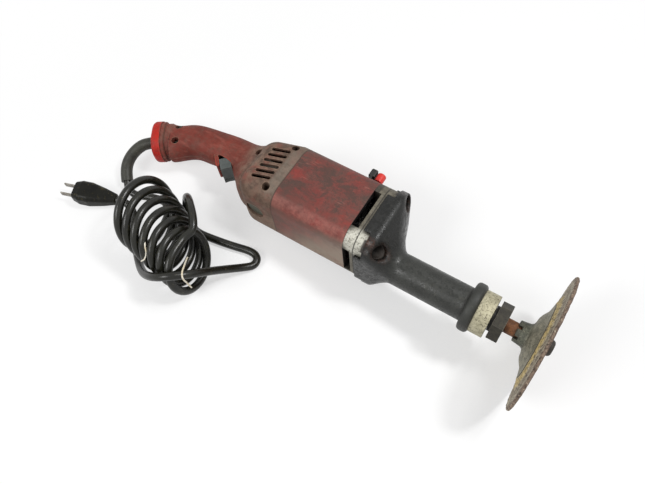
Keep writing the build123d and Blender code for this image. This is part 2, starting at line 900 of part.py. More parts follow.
# Grinding disc, dished towards the work, and its clamp nut
rim_middle = (flange_end + disc_front) / 2 + disc_dish
rim_rear = rim_middle - disc_rim / 2
rim_front = rim_middle + disc_rim / 2
keep(
    "grinding_disc",
    turned(
        [
            (flange_end, disc_hole),
            (disc_front, disc_hole),
            (disc_front, disc_flat),
            (rim_front, disc_shoulder),
            (rim_front, disc_radius),
            (rim_rear, disc_radius),
            (rim_rear, disc_shoulder),
            (flange_end, disc_flat),
        ],
        spindle_axis,
    ),
)
keep("clamp_nut", ring(disc_front, clamp_nut_end, spindle_thread_radius, clamp_nut_radius, spindle_axis))


def handle_form(inset):
    """Bell and bent grip as one body, drawn in from the outside by an inset."""
    bell_side = body_side - 2 * inset
    bell_corner = body_corner - inset
    with BuildPart() as form:
        with BuildSketch(across(0)):
            RectangleRounded(bell_side, bell_side, bell_corner)
        extrude(amount=-bell_straight)
        with BuildSketch(across(-bell_straight)):
            RectangleRounded(bell_side, bell_side, bell_corner)
        with BuildSketch(across(inset - bell_depth)):
            with Locations((-bell_taper / 2, 0)):
                RectangleRounded(bell_side - bell_taper, bell_side, bell_corner)
        loft()
        fillet(faces().sort_by(Axis.X)[0].edges(), bell_fillet - inset)
        tail_start = bend_station + grip_arc
        for distance, offset, width, height, corner in (
            (root_station, root_offset, root_width, root_height, root_corner),
            (brow_station, root_offset, root_width, root_height, root_corner),
            (waist_station, waist_offset, waist_width, waist_height, waist_corner),
            (throat_station, throat_offset, throat_width, throat_height, throat_corner),
            *[
                (bend_station + share * grip_arc, offset, width, grip_height, grip_corner)
                for share, offset, width in palm_sections
            ],
            (tail_start, 0, grip_width, grip_height, grip_corner),
        ):
            with BuildSketch(grip_plane(distance)):
                with Locations((offset, 0)):
                    RectangleRounded(width - 2 * inset, height - 2 * inset, corner - inset)
        loft()
        with BuildSketch(grip_plane(tail_start)):
            RectangleRounded(grip_width - 2 * inset, grip_height - 2 * inset, grip_corner - inset)
        extrude(amount=grip_tail - end_ring_wall)
    return form.part


def screw_place(distance, offset):
    """Point on the parting plane where a handle screw crosses it."""
    return grip_plane(distance).from_local_coords((offset, 0, 0))


screw_points = [screw_place(*place) for place in handle_screw_places]
trigger_plane = Plane((0, 0, 0), x_dir=(cos(trigger_slant), -sin(trigger_slant), 0), z_dir=(0, 0, 1))
with BuildPart() as rear_lip:
    lip_plane = grip_plane(grip_length - end_ring_length - rear_lip_length)
    with BuildSketch(lip_plane):
        lip_width = grip_width + 2 * rear_lip_flare
        RectangleRounded(lip_width, grip_height + 2 * rear_lip_flare, grip_corner + rear_lip_flare)
    extrude(amount=rear_lip_length)
    fillet(faces().sort_by(Axis(lip_plane.origin, lip_plane.z_dir))[0].edges(), rear_lip_flare / 2)
handle_outside = handle_form(0)

# Bosses for the screws and the brush caps, trimmed to the outside of the handle
with BuildPart() as handle_bosses:
    with BuildSketch(Plane.XY):
        with Locations(*[(point.X, point.Y) for point in screw_points]):
            Circle(handle_boss_radius)
    extrude(amount=half_side, both=True)
    for side in (1, -1):
        with BuildSketch(brush_plane(side, brush_boss_start)):
            Circle(brush_cap_radius + fit_gap + brush_boss_wall)
        extrude(amount=half_side - brush_boss_start)
    add(handle_outside, mode=Mode.INTERSECT)

# Guard that stands out of the grip behind the trigger
with BuildPart() as trigger_guard:
    guard_tip = trigger_tip - guard_back
    with BuildSketch(trigger_plane):
        with Locations((guard_tip - guard_depth / 2, trigger_low - slide_gap - guard_wall / 2)):
            Rectangle(guard_depth, guard_wall)
    extrude(amount=guard_width / 2, both=True)
    guard_axis = Axis((0, 0, 0), tuple(trigger_plane.x_dir))
    fillet(faces().sort_by(guard_axis)[-1].edges(), guard_round)

# Handle shell with its vents, brush holes, trigger opening and seats, before it is parted
with BuildPart() as handle_shell:
    add(handle_outside)
    add(rear_lip.part)
    add(trigger_guard.part)
    with BuildSketch(brush_plane(1, holder_start)):
        Circle(brush_cap_radius + fit_gap + brush_boss_wall)
    extrude(amount=half_side - holder_start)
    add(handle_form(handle_wall), mode=Mode.SUBTRACT)
    add(handle_bosses.part)
    with BuildSketch(Plane.XY):
        with Locations((-switch_station, switch_floor + switch_height / 2)):
            Rectangle(switch_pad, switch_height)
    extrude(amount=grip_height / 2 - handle_wall / 2, both=True)
    with BuildSketch(grip_plane(clamp_distance)):
        Rectangle(clamp_width - 2 * handle_wall, grip_height - handle_wall)
    extrude(amount=clamp_length)
    with BuildSketch(Plane.XY):
        with Locations((-switch_station, switch_floor + switch_height / 2)):
            Rectangle(switch_length, switch_height + 2 * handle_wall)
    extrude(amount=switch_width / 2, both=True, mode=Mode.SUBTRACT)
    with BuildSketch(grip_plane(clamp_distance - clamp_length)):
        Rectangle(clamp_width + 2 * handle_wall, clamp_height)
    extrude(amount=3 * clamp_length, mode=Mode.SUBTRACT)
    for side in (1, -1):
        with BuildSketch(brush_plane(side, brush_boss_start)):
            Circle(brush_cap_radius + fit_gap)
        extrude(amount=half_side - brush_boss_start, mode=Mode.SUBTRACT)
        with BuildSketch(brush_plane(side, holder_start)):
            Rectangle(brush_length + 2 * (holder_wall + fit_gap), brush_width + 2 * (holder_wall + fit_gap))
        extrude(amount=holder_end - holder_start, mode=Mode.SUBTRACT)
        with BuildSketch(Plane.XY.offset(side * half_side)):
            with Locations((vent_station, vent_middle)):
                with GridLocations(1, vent_pitch, 1, vent_count):
                    SlotOverall(vent_length, vent_width, rotation=vent_turn)
        extrude(amount=-side * 2 * handle_wall, mode=Mode.SUBTRACT)
    with BuildSketch(trigger_plane):
        opening_low = trigger_low - slide_gap
        opening_high = trigger_high + slide_gap
        opening_root = trigger_root - trigger_travel - free_gap
        opening_tip = trigger_tip + trigger_run_out
        with Locations(((opening_root + opening_tip) / 2, (opening_low + opening_high) / 2)):
            Rectangle(opening_tip - opening_root, opening_high - opening_low)
    extrude(amount=trigger_width / 2 + slide_gap, both=True, mode=Mode.SUBTRACT)

with BuildPart() as handle_half_upper:
    add(handle_shell.part)
    split(bisect_by=Plane.XY, keep=Keep.TOP)
    for point in screw_points:
        with BuildSketch(Plane((point.X, point.Y, 0))):
            Circle(handle_screw_radius + fit_gap)
        extrude(amount=handle_screw_seat, mode=Mode.SUBTRACT)
        with BuildSketch(Plane((point.X, point.Y, handle_screw_seat))):
            Circle(handle_recess_radius)
        extrude(amount=half_side, mode=Mode.SUBTRACT)
keep("handle_half_upper", handle_half_upper.part)

with BuildPart() as handle_half_lower:
    add(handle_shell.part)
    split(bisect_by=Plane.XY, keep=Keep.BOTTOM)
    for point in screw_points:
        with BuildSketch(Plane((point.X, point.Y, 0))):
            Circle(handle_screw_radius)
        extrude(amount=handle_screw_seat - handle_screw_length - free_gap, mode=Mode.SUBTRACT)
keep("handle_half_lower", handle_half_lower.part)

handle_screws = gather(
    [
        screw(
            (point.X, point.Y, handle_screw_seat),
            (0, 0, 1),
            handle_screw_radius,
            handle_screw_length,
            handle_screw_head_radius,
            handle_screw_head,
        )
        for point in screw_points
    ]
)
keep("handle_screws", handle_screws)

# End ring that holds the rear of the two halves together
with BuildPart() as handle_end_ring:
    ring_plane = grip_plane(grip_length - end_ring_length)
    with BuildSketch(ring_plane):
        ring_width = grip_width + 2 * end_ring_flare
        ring_height = grip_height + 2 * end_ring_flare
        RectangleRounded(ring_width, ring_height, grip_corner + end_ring_flare)
    extrude(amount=end_ring_length)
    fillet(faces().sort_by(Axis(ring_plane.origin, ring_plane.z_dir))[-1].edges(), end_ring_edge)
    with BuildSketch(ring_plane):
        RectangleRounded(grip_width + 2 * fit_gap, grip_height + 2 * fit_gap, grip_corner + fit_gap)
    extrude(amount=end_ring_length - end_ring_wall, mode=Mode.SUBTRACT)
    with BuildSketch(ring_plane):
        Circle(protector_radius + fit_gap)
    extrude(amount=end_ring_length, mode=Mode.SUBTRACT)
keep("handle_end_ring", handle_end_ring.part)

# Trigger: wide bar that slides into the handle, hollowed for the finger and grooved at its lower lip
with BuildPart() as trigger:
    with BuildSketch(trigger_plane):
        with BuildLine():
            Polyline(
                (trigger_tip, trigger_low),
                (trigger_root, trigger_low),
                (trigger_root, trigger_high),
                (trigger_tip, trigger_high),
            )
            trigger_middle = (trigger_low + trigger_high) / 2
            ThreePointArc(
                (trigger_tip, trigger_high),
                (trigger_tip - trigger_scoop, trigger_middle),
                (trigger_tip, trigger_low),
            )
        make_face()
    extrude(amount=trigger_width / 2, both=True)
    for rib in range(trigger_ribs):
        rib_start = trigger_lip + 2 * rib * trigger_rib - trigger_width / 2
        with BuildSketch(trigger_plane.offset(rib_start)):
            with Locations((trigger_tip, trigger_middle)):
                Rectangle(2 * (trigger_scoop + trigger_rib), trigger_high - trigger_low)
        extrude(amount=trigger_rib, mode=Mode.SUBTRACT)
keep("trigger", trigger.part)

# Switch behind the trigger, and the clamp that grips the cord protector
with BuildPart() as switch_body:
    with BuildSketch(Plane.XY):
        with Locations((-switch_station, switch_floor + switch_height / 2)):
            Rectangle(switch_length, switch_height)
    extrude(amount=switch_width / 2, both=True)
keep("switch_body", switch_body.part)
with BuildPart() as cord_clamp:
    with BuildSketch(grip_plane(clamp_distance)):
        Rectangle(clamp_width, clamp_height)
    extrude(amount=clamp_length)
keep("cord_clamp", cord_clamp.part)

# Spindle lock: red capped plunger through the sleeve, beside its bracket
lock_plane = Plane((lock_station, half_side, lock_height), x_dir=(1, 0, 0), z_dir=(0, 1, 0))
with BuildPart() as lock_plunger:
    with BuildSketch(lock_plane.offset(lock_lift)):
        Circle(lock_cap_radius)
    extrude(amount=lock_cap_length)
    fillet(faces().sort_by(Axis.Y)[-1].edges(), lock_cap_edge)
    with BuildSketch(lock_plane.offset(-lock_tip)):
        Circle(lock_stem_radius)
    extrude(amount=lock_tip + lock_lift)
keep("lock_plunger", lock_plunger.part)
with BuildPart() as lock_bracket:
    bracket_middle = -lock_cap_radius - free_gap - lock_bracket_length / 2
    head_middle = -lock_cap_radius - free_gap - lock_head_length / 2
    with BuildSketch(lock_plane):
        with Locations((bracket_middle, 0)):
            Rectangle(lock_bracket_length, lock_bracket_width)
    extrude(amount=lock_bracket_thick)
    with BuildSketch(lock_plane.offset(lock_bracket_rise)):
        with Locations((head_middle, 0)):
            Rectangle(lock_head_length, lock_bracket_width)
    extrude(amount=-lock_head_rise)
    fillet(edges().filter_by(Axis.Z).group_by(Axis.Y)[-1], lock_head_edge)
    fillet(faces().sort_by(Axis.Y)[-1].edges().filter_by(Axis.X), lock_head_edge)
    with BuildSketch(lock_plane):
        with Locations((head_middle, 0)):
            Rectangle(lock_bracket_thick, lock_bracket_width)
    extrude(amount=lock_bracket_rise - lock_head_rise / 2)
keep("lock_bracket", lock_bracket.part)

# Laying down: turn about Y until the disc rim and the rounded rear of the bell touch the ground together
rest_x = rim_rear + bell_depth - bell_fillet
rest_z = -disc_radius + half_side - bell_fillet
lean = asin(-bell_fillet / hypot(rest_x, rest_z)) - atan2(rest_z, rest_x)
leaning = Location((0, 0, 0), (0, -degrees(lean), 0))
box = Compound([part.moved(leaning) for part in finished.values()]).bounding_box()
to_bench = Location((0, 0, -box.min.Z)) * leaning
to_row = Location((-box.center().X, -box.center().Y, 0))
for label in list(finished):
    keep(label, finished[label].moved(to_bench))


def bend_radii(points):
    """Radius of the arc at each inner point, from its share of the shorter run beside it."""
    radii = []
    for before, here, after in zip(points, points[1:], points[2:]):
        run_in = here - before
        run_out = after - here
        half_turn = radians(run_in.get_angle(run_out)) / 2
        radii.append(bend_share * min(run_in.length, run_out.length) / tan(half_turn))
    return radii


def cord_run(label, points, radius):
    """Free stretch of cord: straight runs joined by tangent arcs."""
    points = [Vector(*point) for point in points]
    radii = bend_radii(points)
    with BuildPart() as tube:
        with BuildLine() as route:
            FilletPolyline(*points, radius=radii)
        with BuildSketch(Plane(points[0], z_dir=points[1] - points[0])):
            Circle(radius)
        sweep()
    length = sum(edge.length for edge in route.edges())
    share = tube.part.volume / (pi * radius**2 * length)
    print(label, "length", round(length, 1), "volume share", round(share, 4))
    print(label, "radii", [round(bend, 1) for bend in radii])
    keep(label, tube.part)


def coil_point(turn):
    """Point on the coil's middle line after a number of turns from its first foot."""
    share = turn / coil_turns
    radius = mixed(coil_radius_start, coil_radius_stop, share)
    heading = mixed(coil_heading_start, coil_heading_stop, share)
    tilt = mixed(coil_lean_start, coil_lean_stop, share)
    ahead = Vector(cos(heading), sin(heading), 0)
    aside = Vector(sin(heading), -cos(heading), 0)
    rise = Vector(0, 0, cos(tilt)) - ahead * sin(tilt)
    foot = mixed(coil_start, coil_stop, share)
    centre = Vector(foot.X, foot.Y, radius * cos(tilt) + cord_radius)
    angle = 2 * pi * turn - pi / 2
    return centre + aside * (radius * cos(angle)) + rise * (radius * sin(angle))


def coil_tangent(turn):
    step = 1 / (coil_samples * coil_samples)
    return (coil_point(turn + step) - coil_point(turn - step)).normalized()


def biarc(start, heading, end, heading_end):
    """Two arcs that leave start along heading and reach end along heading_end."""
    across_gap = end - start
    both = heading + heading_end
    bend = 2 * (1 - heading.dot(heading_end))
    along = across_gap.dot(both)
    handle = ((along**2 + bend * across_gap.dot(across_gap)) ** 0.5 - along) / bend
    first = start + heading * handle
    last = end - heading_end * handle
    middle = (first + last) / 2
    TangentArc(start, middle, tangent=heading)
    TangentArc(middle, end, tangent=last - first)


# Coil: one unbroken tube of biarcs, with a straight end one diameter long at each side
straight_end = 2 * cord_radius
coil_first = coil_point(0) - coil_tangent(0) * straight_end
coil_last = coil_point(coil_turns) + coil_tangent(coil_turns) * straight_end
with BuildPart() as cord_coil:
    with BuildLine() as coil_route:
        Line(coil_first, coil_point(0))
        for step in range(round(coil_turns * coil_steps)):
            turn = step / coil_steps
            following = (step + 1) / coil_steps
            biarc(coil_point(turn), coil_tangent(turn), coil_point(following), coil_tangent(following))
        Line(coil_point(coil_turns), coil_last)
    with BuildSketch(Plane(coil_first, z_dir=coil_tangent(0))):
        Circle(cord_radius)
    sweep()
keep("cord_coil", cord_coil.part)
coil_line = [coil_point(sample / coil_samples) for sample in range(round(coil_turns * coil_samples) + 1)]
coil_gap = min(
    (coil_line[there] - coil_line[here]).length
    for here in range(len(coil_line))
    for there in range(here + coil_samples // 2, len(coil_line))
)
coil_length = sum(edge.length for edge in coil_route.edges())
coil_share = cord_coil.part.volume / (pi * cord_radius**2 * coil_length)
print("coil least gap", round(coil_gap - 2 * cord_radius, 2), "length", round(coil_length, 1))
print("coil volume share", round(coil_share, 4))

# Protector from the clamp through the end ring, then the lead to the coil and the tail to the plug;
# each stretch runs straight into the piece that it meets
clamp_face = grip_plane(clamp_distance + clamp_length)
protector_start = (to_bench * clamp_face.location).position
protector_out = (to_bench * clamp_face.offset(protector_exit).location).position
protector_route = [protector_start, protector_out, *protector_bends, protector_end]
cord_run("cord_protector", protector_route, protector_radius)
protector_heading = (Vector(*protector_end) - Vector(*protector_bends[-1])).normalized()
lead_out = Vector(*protector_end) + protector_heading * straight_run
lead_in = coil_first - coil_tangent(0) * straight_run
cord_run("cord_lead", [protector_end, lead_out, *lead_bends, lead_in, coil_first], cord_radius)
tail_out = coil_last + coil_tangent(coil_turns) * straight_run
tail_in = Vector(*tail_end) - plug_direction * straight_run
tail_bends = [*tail_arch, *tail_drop, *tail_fold, *tail_front, *tail_curl, *tail_plug]
cord_run("cord_tail", [coil_last, tail_out, *tail_bends, tail_in, tail_end], cord_radius)

# Plug: tapered body and two flat blades
plug_plane = Plane(tail_end, x_dir=(plug_direction.Y, -plug_direction.X, 0), z_dir=plug_direction)
plug_length = plug_sections[-1][0]
with BuildPart() as plug_body:
    for distance, width, height in plug_sections:
        with BuildSketch(plug_plane.offset(distance)):
            RectangleRounded(width, height, plug_corner * height)
    loft(ruled=True)
keep("plug_body", plug_body.part)
with BuildPart() as plug_blades:
    with BuildSketch(plug_plane.offset(plug_length)):
        with GridLocations(blade_spacing, 1, 2, 1):
            Rectangle(blade_thickness, blade_width)
    extrude(amount=blade_length)
keep("plug_blades", plug_blades.part)

print("invalid solids", [label for label, part in finished.items() if not part.is_valid])
print("lean", round(degrees(lean), 3), "bench to row", to_row.position, "lift", -box.min.Z)
for label, part in finished.items():
    laid = part.moved(to_row)
    laid.label = label
    export_step(laid, f"parts/{label}.step")
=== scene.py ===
import json
from math import cos, pi, radians, sin

import bmesh
import bpy
from mathutils import Matrix, Vector, noise


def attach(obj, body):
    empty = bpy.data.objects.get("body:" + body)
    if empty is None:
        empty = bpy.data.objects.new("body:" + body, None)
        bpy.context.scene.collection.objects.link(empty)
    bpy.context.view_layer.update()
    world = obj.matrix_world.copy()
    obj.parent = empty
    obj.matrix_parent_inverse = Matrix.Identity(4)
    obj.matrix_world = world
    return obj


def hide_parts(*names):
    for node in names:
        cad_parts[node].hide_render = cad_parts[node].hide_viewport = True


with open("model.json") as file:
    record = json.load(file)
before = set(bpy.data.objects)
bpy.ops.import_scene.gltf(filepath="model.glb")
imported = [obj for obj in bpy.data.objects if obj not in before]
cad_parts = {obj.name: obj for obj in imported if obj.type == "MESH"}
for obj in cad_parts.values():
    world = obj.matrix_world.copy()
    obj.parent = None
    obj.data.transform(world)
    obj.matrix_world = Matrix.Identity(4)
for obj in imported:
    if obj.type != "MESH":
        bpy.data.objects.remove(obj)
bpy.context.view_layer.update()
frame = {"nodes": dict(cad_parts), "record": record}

# Straight grinder: finishes for the CAD pieces, worn disc end, cord as one curve, floor, light and camera
nodes = frame["nodes"]
mm = 0.001

# The tool lies on its side, its axis tilted up towards the disc; its own coordinates start at the seam
tool_lean = radians(5.06844)
seam_place = Vector((-58.3183, 17.9375, 46.7359)) * mm
tool_axis = Vector((cos(tool_lean), 0, sin(tool_lean)))
tool_up = Vector((-sin(tool_lean), 0, cos(tool_lean)))
tool_side = Vector((0, 1, 0))
spindle_offset = -24.375 * mm

# Places on the tool that the finishes follow, in metres along, aside and up from the seam
sleeve_front = 0.093
joint_station = 0.1055
pocket_span = (0.1135, 0.145)
neck_start = 0.145
collar_start = 0.2285
nose_start = 0.205
screw_places = ((-0.033, 0.033), (0.033, 0.033))
trigger_place = (-0.089, -0.022, 0.004)
bright_lug = (0.108, -0.041, 0.040)
torn_notch = (0.1200, -0.0330, 0.0440)


def tint(red, green, blue):
    """Display colour, 0 to 255, as the linear colour that a shader takes."""
    shares = [value / 255 for value in (red, green, blue)]
    linear = [s / 12.92 if s < 0.04045 else ((s + 0.055) / 1.055) ** 2.4 for s in shares]
    return (*linear, 1.0)


class Finish:
    """One procedural material, with short calls for the nodes that it is made of."""

    def __init__(self, name):
        self.material = bpy.data.materials.new(name)
        self.material.use_nodes = True
        self.tree = self.material.node_tree
        self.surface = self.tree.nodes["Principled BSDF"]
        self.place = self.node("ShaderNodeTexCoord").outputs["Object"]

    def node(self, kind, inputs=(), **settings):
        made = self.tree.nodes.new(kind)
        for name, value in settings.items():
            setattr(made, name, value)
        for key, value in dict(inputs).items():
            self.put(made.inputs[key], value)
        return made

    def put(self, socket, value):
        if isinstance(value, bpy.types.NodeSocket):
            self.tree.links.new(value, socket)
        else:
            socket.default_value = value

    def math(self, operation, first, second=0.0, clamp=False):
        made = self.node("ShaderNodeMath", {0: first, 1: second}, operation=operation, use_clamp=clamp)
        return made.outputs[0]

    def dot(self, direction, origin=Vector((0, 0, 0))):
        """Distance of a surface point from origin along a direction, in metres."""
        moved = self.node("ShaderNodeVectorMath", {0: self.place, 1: origin}, operation="SUBTRACT").outputs[0]
        made = self.node("ShaderNodeVectorMath", {0: moved, 1: direction}, operation="DOT_PRODUCT")
        return made.outputs["Value"]

    def noise(self, size, detail=4.0, roughness=0.55, stretch=None, distortion=0.0):
        """Cloudy pattern whose blotches are about size metres across; stretch draws it out along an axis."""
        place = self.place
        if stretch is not None:
            place = self.node("ShaderNodeMapping", {"Vector": place, "Scale": stretch}).outputs[0]
        inputs = {"Vector": place, "Scale": 1 / size, "Detail": detail, "Roughness": roughness}
        inputs["Distortion"] = distortion
        return self.node("ShaderNodeTexNoise", inputs).outputs["Fac"]

    def band(self, value, low, high):
        """Smooth step of a value from 0 at low to 1 at high."""
        made = self.node("ShaderNodeMapRange", {"Value": value, "From Min": low, "From Max": high})
        made.interpolation_type = "SMOOTHSTEP"
        return made.outputs["Result"]

    def both(self, first, second):
        """Product of two shares."""
        return self.math("MULTIPLY", first, second)

    def mix(self, share, first, second):
        made = self.node("ShaderNodeMix", data_type="RGBA")
        for socket, value in zip((made.inputs[0], made.inputs[6], made.inputs[7]), (share, first, second)):
            self.put(socket, value)
        return made.outputs[2]

    def blend(self, share, first, second):
        made = self.node("ShaderNodeMix", {0: share, 2: first, 3: second})
        return made.outputs[0]

    def edges(self, radius, gain=4.0):
        """Share of 1 on sharp edges, from how far the rounded normal leaves the plain one."""
        rounded = self.node("ShaderNodeBevel", {"Radius": radius}, samples=6).outputs["Normal"]
        plain = self.node("ShaderNodeNewGeometry").outputs["Normal"]
        match = self.node("ShaderNodeVectorMath", {0: rounded, 1: plain}, operation="DOT_PRODUCT")
        return self.math("MULTIPLY", self.math("SUBTRACT", 1.0, match.outputs["Value"]), gain, clamp=True)

    def hollows(self, distance):
        """Share of 1 in corners and recesses, where the finishes paint shade."""
        open_share = self.node("ShaderNodeAmbientOcclusion", {"Distance": distance}, samples=6).outputs["AO"]
        return self.math("SUBTRACT", 1.0, open_share, clamp=True)

    def around(self, place, near, far):
        """Share of 1 within near of a place in tool coordinates, falling to 0 at far."""
        centre = seam_place + tool_axis * place[0] + tool_side * place[1] + tool_up * place[2]
        gap = self.node("ShaderNodeVectorMath", {0: self.place, 1: centre}, operation="DISTANCE")
        return self.band(gap.outputs["Value"], far, near)

    def pocket(self, aside, rise, near=0.0088, far=0.0096):
        """Share of 1 in and round a screw pocket that runs along the tool's axis, ahead of the joint."""
        out = self.math("SUBTRACT", self.dot(tool_side, seam_place), aside)
        up = self.math("SUBTRACT", self.dot(tool_up, seam_place), rise)
        squares = self.math("ADD", self.both(out, out), self.both(up, up))
        along = self.dot(tool_axis, seam_place)
        start, end = pocket_span
        entered = self.band(along, start - 0.001, start + 0.001)
        reach = self.both(entered, self.band(along, end + 0.005, end - 0.005))
        return self.both(self.band(self.math("SQRT", squares), far, near), reach)

    def wear(self, share, amount, colour, over):
        """Colour laid over another, where share times amount says."""
        return self.mix(self.both(share, amount), over, colour)

    def finish(self, colour, roughness, height, depth, strength, metallic=0.0, rounding=0.0, gloss=0.5):
        self.surface.inputs["Specular IOR Level"].default_value = gloss
        self.put(self.surface.inputs["Base Color"], colour)
        self.put(self.surface.inputs["Roughness"], roughness)
        self.put(self.surface.inputs["Metallic"], metallic)
        bump = {"Height": height, "Distance": depth, "Strength": strength}
        if rounding:
            bump["Normal"] = self.node("ShaderNodeBevel", {"Radius": rounding}, samples=6).outputs["Normal"]
        self.put(self.surface.inputs["Normal"], self.node("ShaderNodeBump", bump).outputs["Normal"])
        return self.material


def handle_plastic():
    """Worn red plastic that turns brown-grey towards the bell, with painted shade in recesses and rubbed
    edges.
    """
    f = Finish("handle_plastic")
    along = f.dot(tool_axis, seam_place)
    rise = f.dot(tool_up, seam_place)
    aside = f.dot(tool_side, seam_place)
    blotch = f.noise(0.030, 8, 0.65)
    patch = f.noise(0.010, 8, 0.7)
    fine = f.noise(0.0035, 6, 0.68)
    red = f.mix(f.band(blotch, 0.34, 0.66), tint(103, 46, 38), tint(127, 58, 48))
    red = f.wear(f.band(patch, 0.42, 0.72), 0.60, tint(104, 76, 66), red)
    streaks = f.noise(0.005, 6, 0.6, stretch=(0.25, 1.0, 1.0))
    red = f.wear(f.band(streaks, 0.50, 0.70), 0.40, tint(154, 90, 78), red)
    brown = f.mix(f.band(patch, 0.36, 0.64), tint(84, 69, 59), tint(130, 106, 91))
    brown = f.wear(f.band(f.noise(0.016, 8, 0.7), 0.46, 0.70), 0.75, tint(132, 72, 62), brown)
    near_side = f.band(aside, -0.022, -0.042)
    brown = f.wear(near_side, 0.40, tint(100, 80, 68), brown)
    low_dust = f.both(f.band(aside, -0.034, -0.041), f.band(rise, 0.006, -0.008))
    brown = f.wear(low_dust, 0.45, tint(146, 126, 110), brown)
    paler = f.both(f.band(along, -0.015, -0.010), f.band(aside, -0.040, -0.030))
    brown = f.wear(paler, 0.55, tint(122, 114, 103), brown)
    drift = f.both(f.math("SUBTRACT", blotch, 0.5), 0.06)
    bell_share = f.band(f.math("ADD", along, drift), -0.086, -0.044)
    colour = f.mix(bell_share, red, brown)
    colour = f.wear(f.band(fine, 0.48, 0.74), 0.45, tint(70, 56, 48), colour)
    bright = f.noise(0.0022, 5, 0.7)
    colour = f.wear(f.band(bright, 0.60, 0.74), 0.35, tint(166, 110, 96), colour)
    grime = f.both(f.band(rise, 0.012, 0.030), f.band(aside, 0.006, 0.030))
    colour = f.wear(grime, 0.25, tint(84, 70, 60), colour)
    rubbed = f.both(f.edges(0.0016), f.band(fine, 0.25, 0.50))
    colour = f.wear(rubbed, 0.60, tint(158, 132, 112), colour)
    # Painted shade in recesses
    colour = f.wear(f.hollows(0.006), 0.80, tint(50, 34, 29), colour)
    trigger_lip = f.both(f.around(trigger_place, 0.012, 0.024), f.edges(0.003, 6.0))
    colour = f.wear(trigger_lip, 0.85, tint(184, 60, 46), colour)
    collar = f.both(f.band(along, -0.168, -0.176), f.band(patch, 0.30, 0.62))
    colour = f.wear(collar, 0.45, tint(126, 92, 80), colour)
    colour = f.wear(f.band(along, -0.0011, -0.0003), 0.65, tint(48, 38, 34), colour)
    rough = f.blend(fine, 0.48, 0.78)
    height = f.math("ADD", f.noise(0.0014, 4, 0.6), f.both(patch, 0.6))
    return f.finish(colour, rough, height, 0.00025, 0.35, rounding=0.0009, gloss=0.2)


def ring_plastic():
    """Bright red ring, scuffed to brown-grey on its edges."""
    f = Finish("ring_plastic")
    blotch = f.noise(0.012, 6, 0.65)
    fine = f.noise(0.003, 5, 0.65)
    colour = f.mix(f.band(blotch, 0.38, 0.64), tint(182, 38, 27), tint(152, 40, 31))
    colour = f.wear(f.band(fine, 0.52, 0.70), 0.40, tint(122, 62, 52), colour)
    scuffs = f.both(f.edges(0.0030, 5.0), f.band(blotch, 0.30, 0.55))
    colour = f.wear(scuffs, 0.75, tint(116, 86, 74), colour)
    # Painted shade in recesses
    colour = f.wear(f.hollows(0.005), 0.80, tint(60, 38, 32), colour)
    rough = f.blend(fine, 0.42, 0.66)
    return f.finish(colour, rough, f.noise(0.002, 4), 0.0002, 0.3, rounding=0.0008, gloss=0.25)


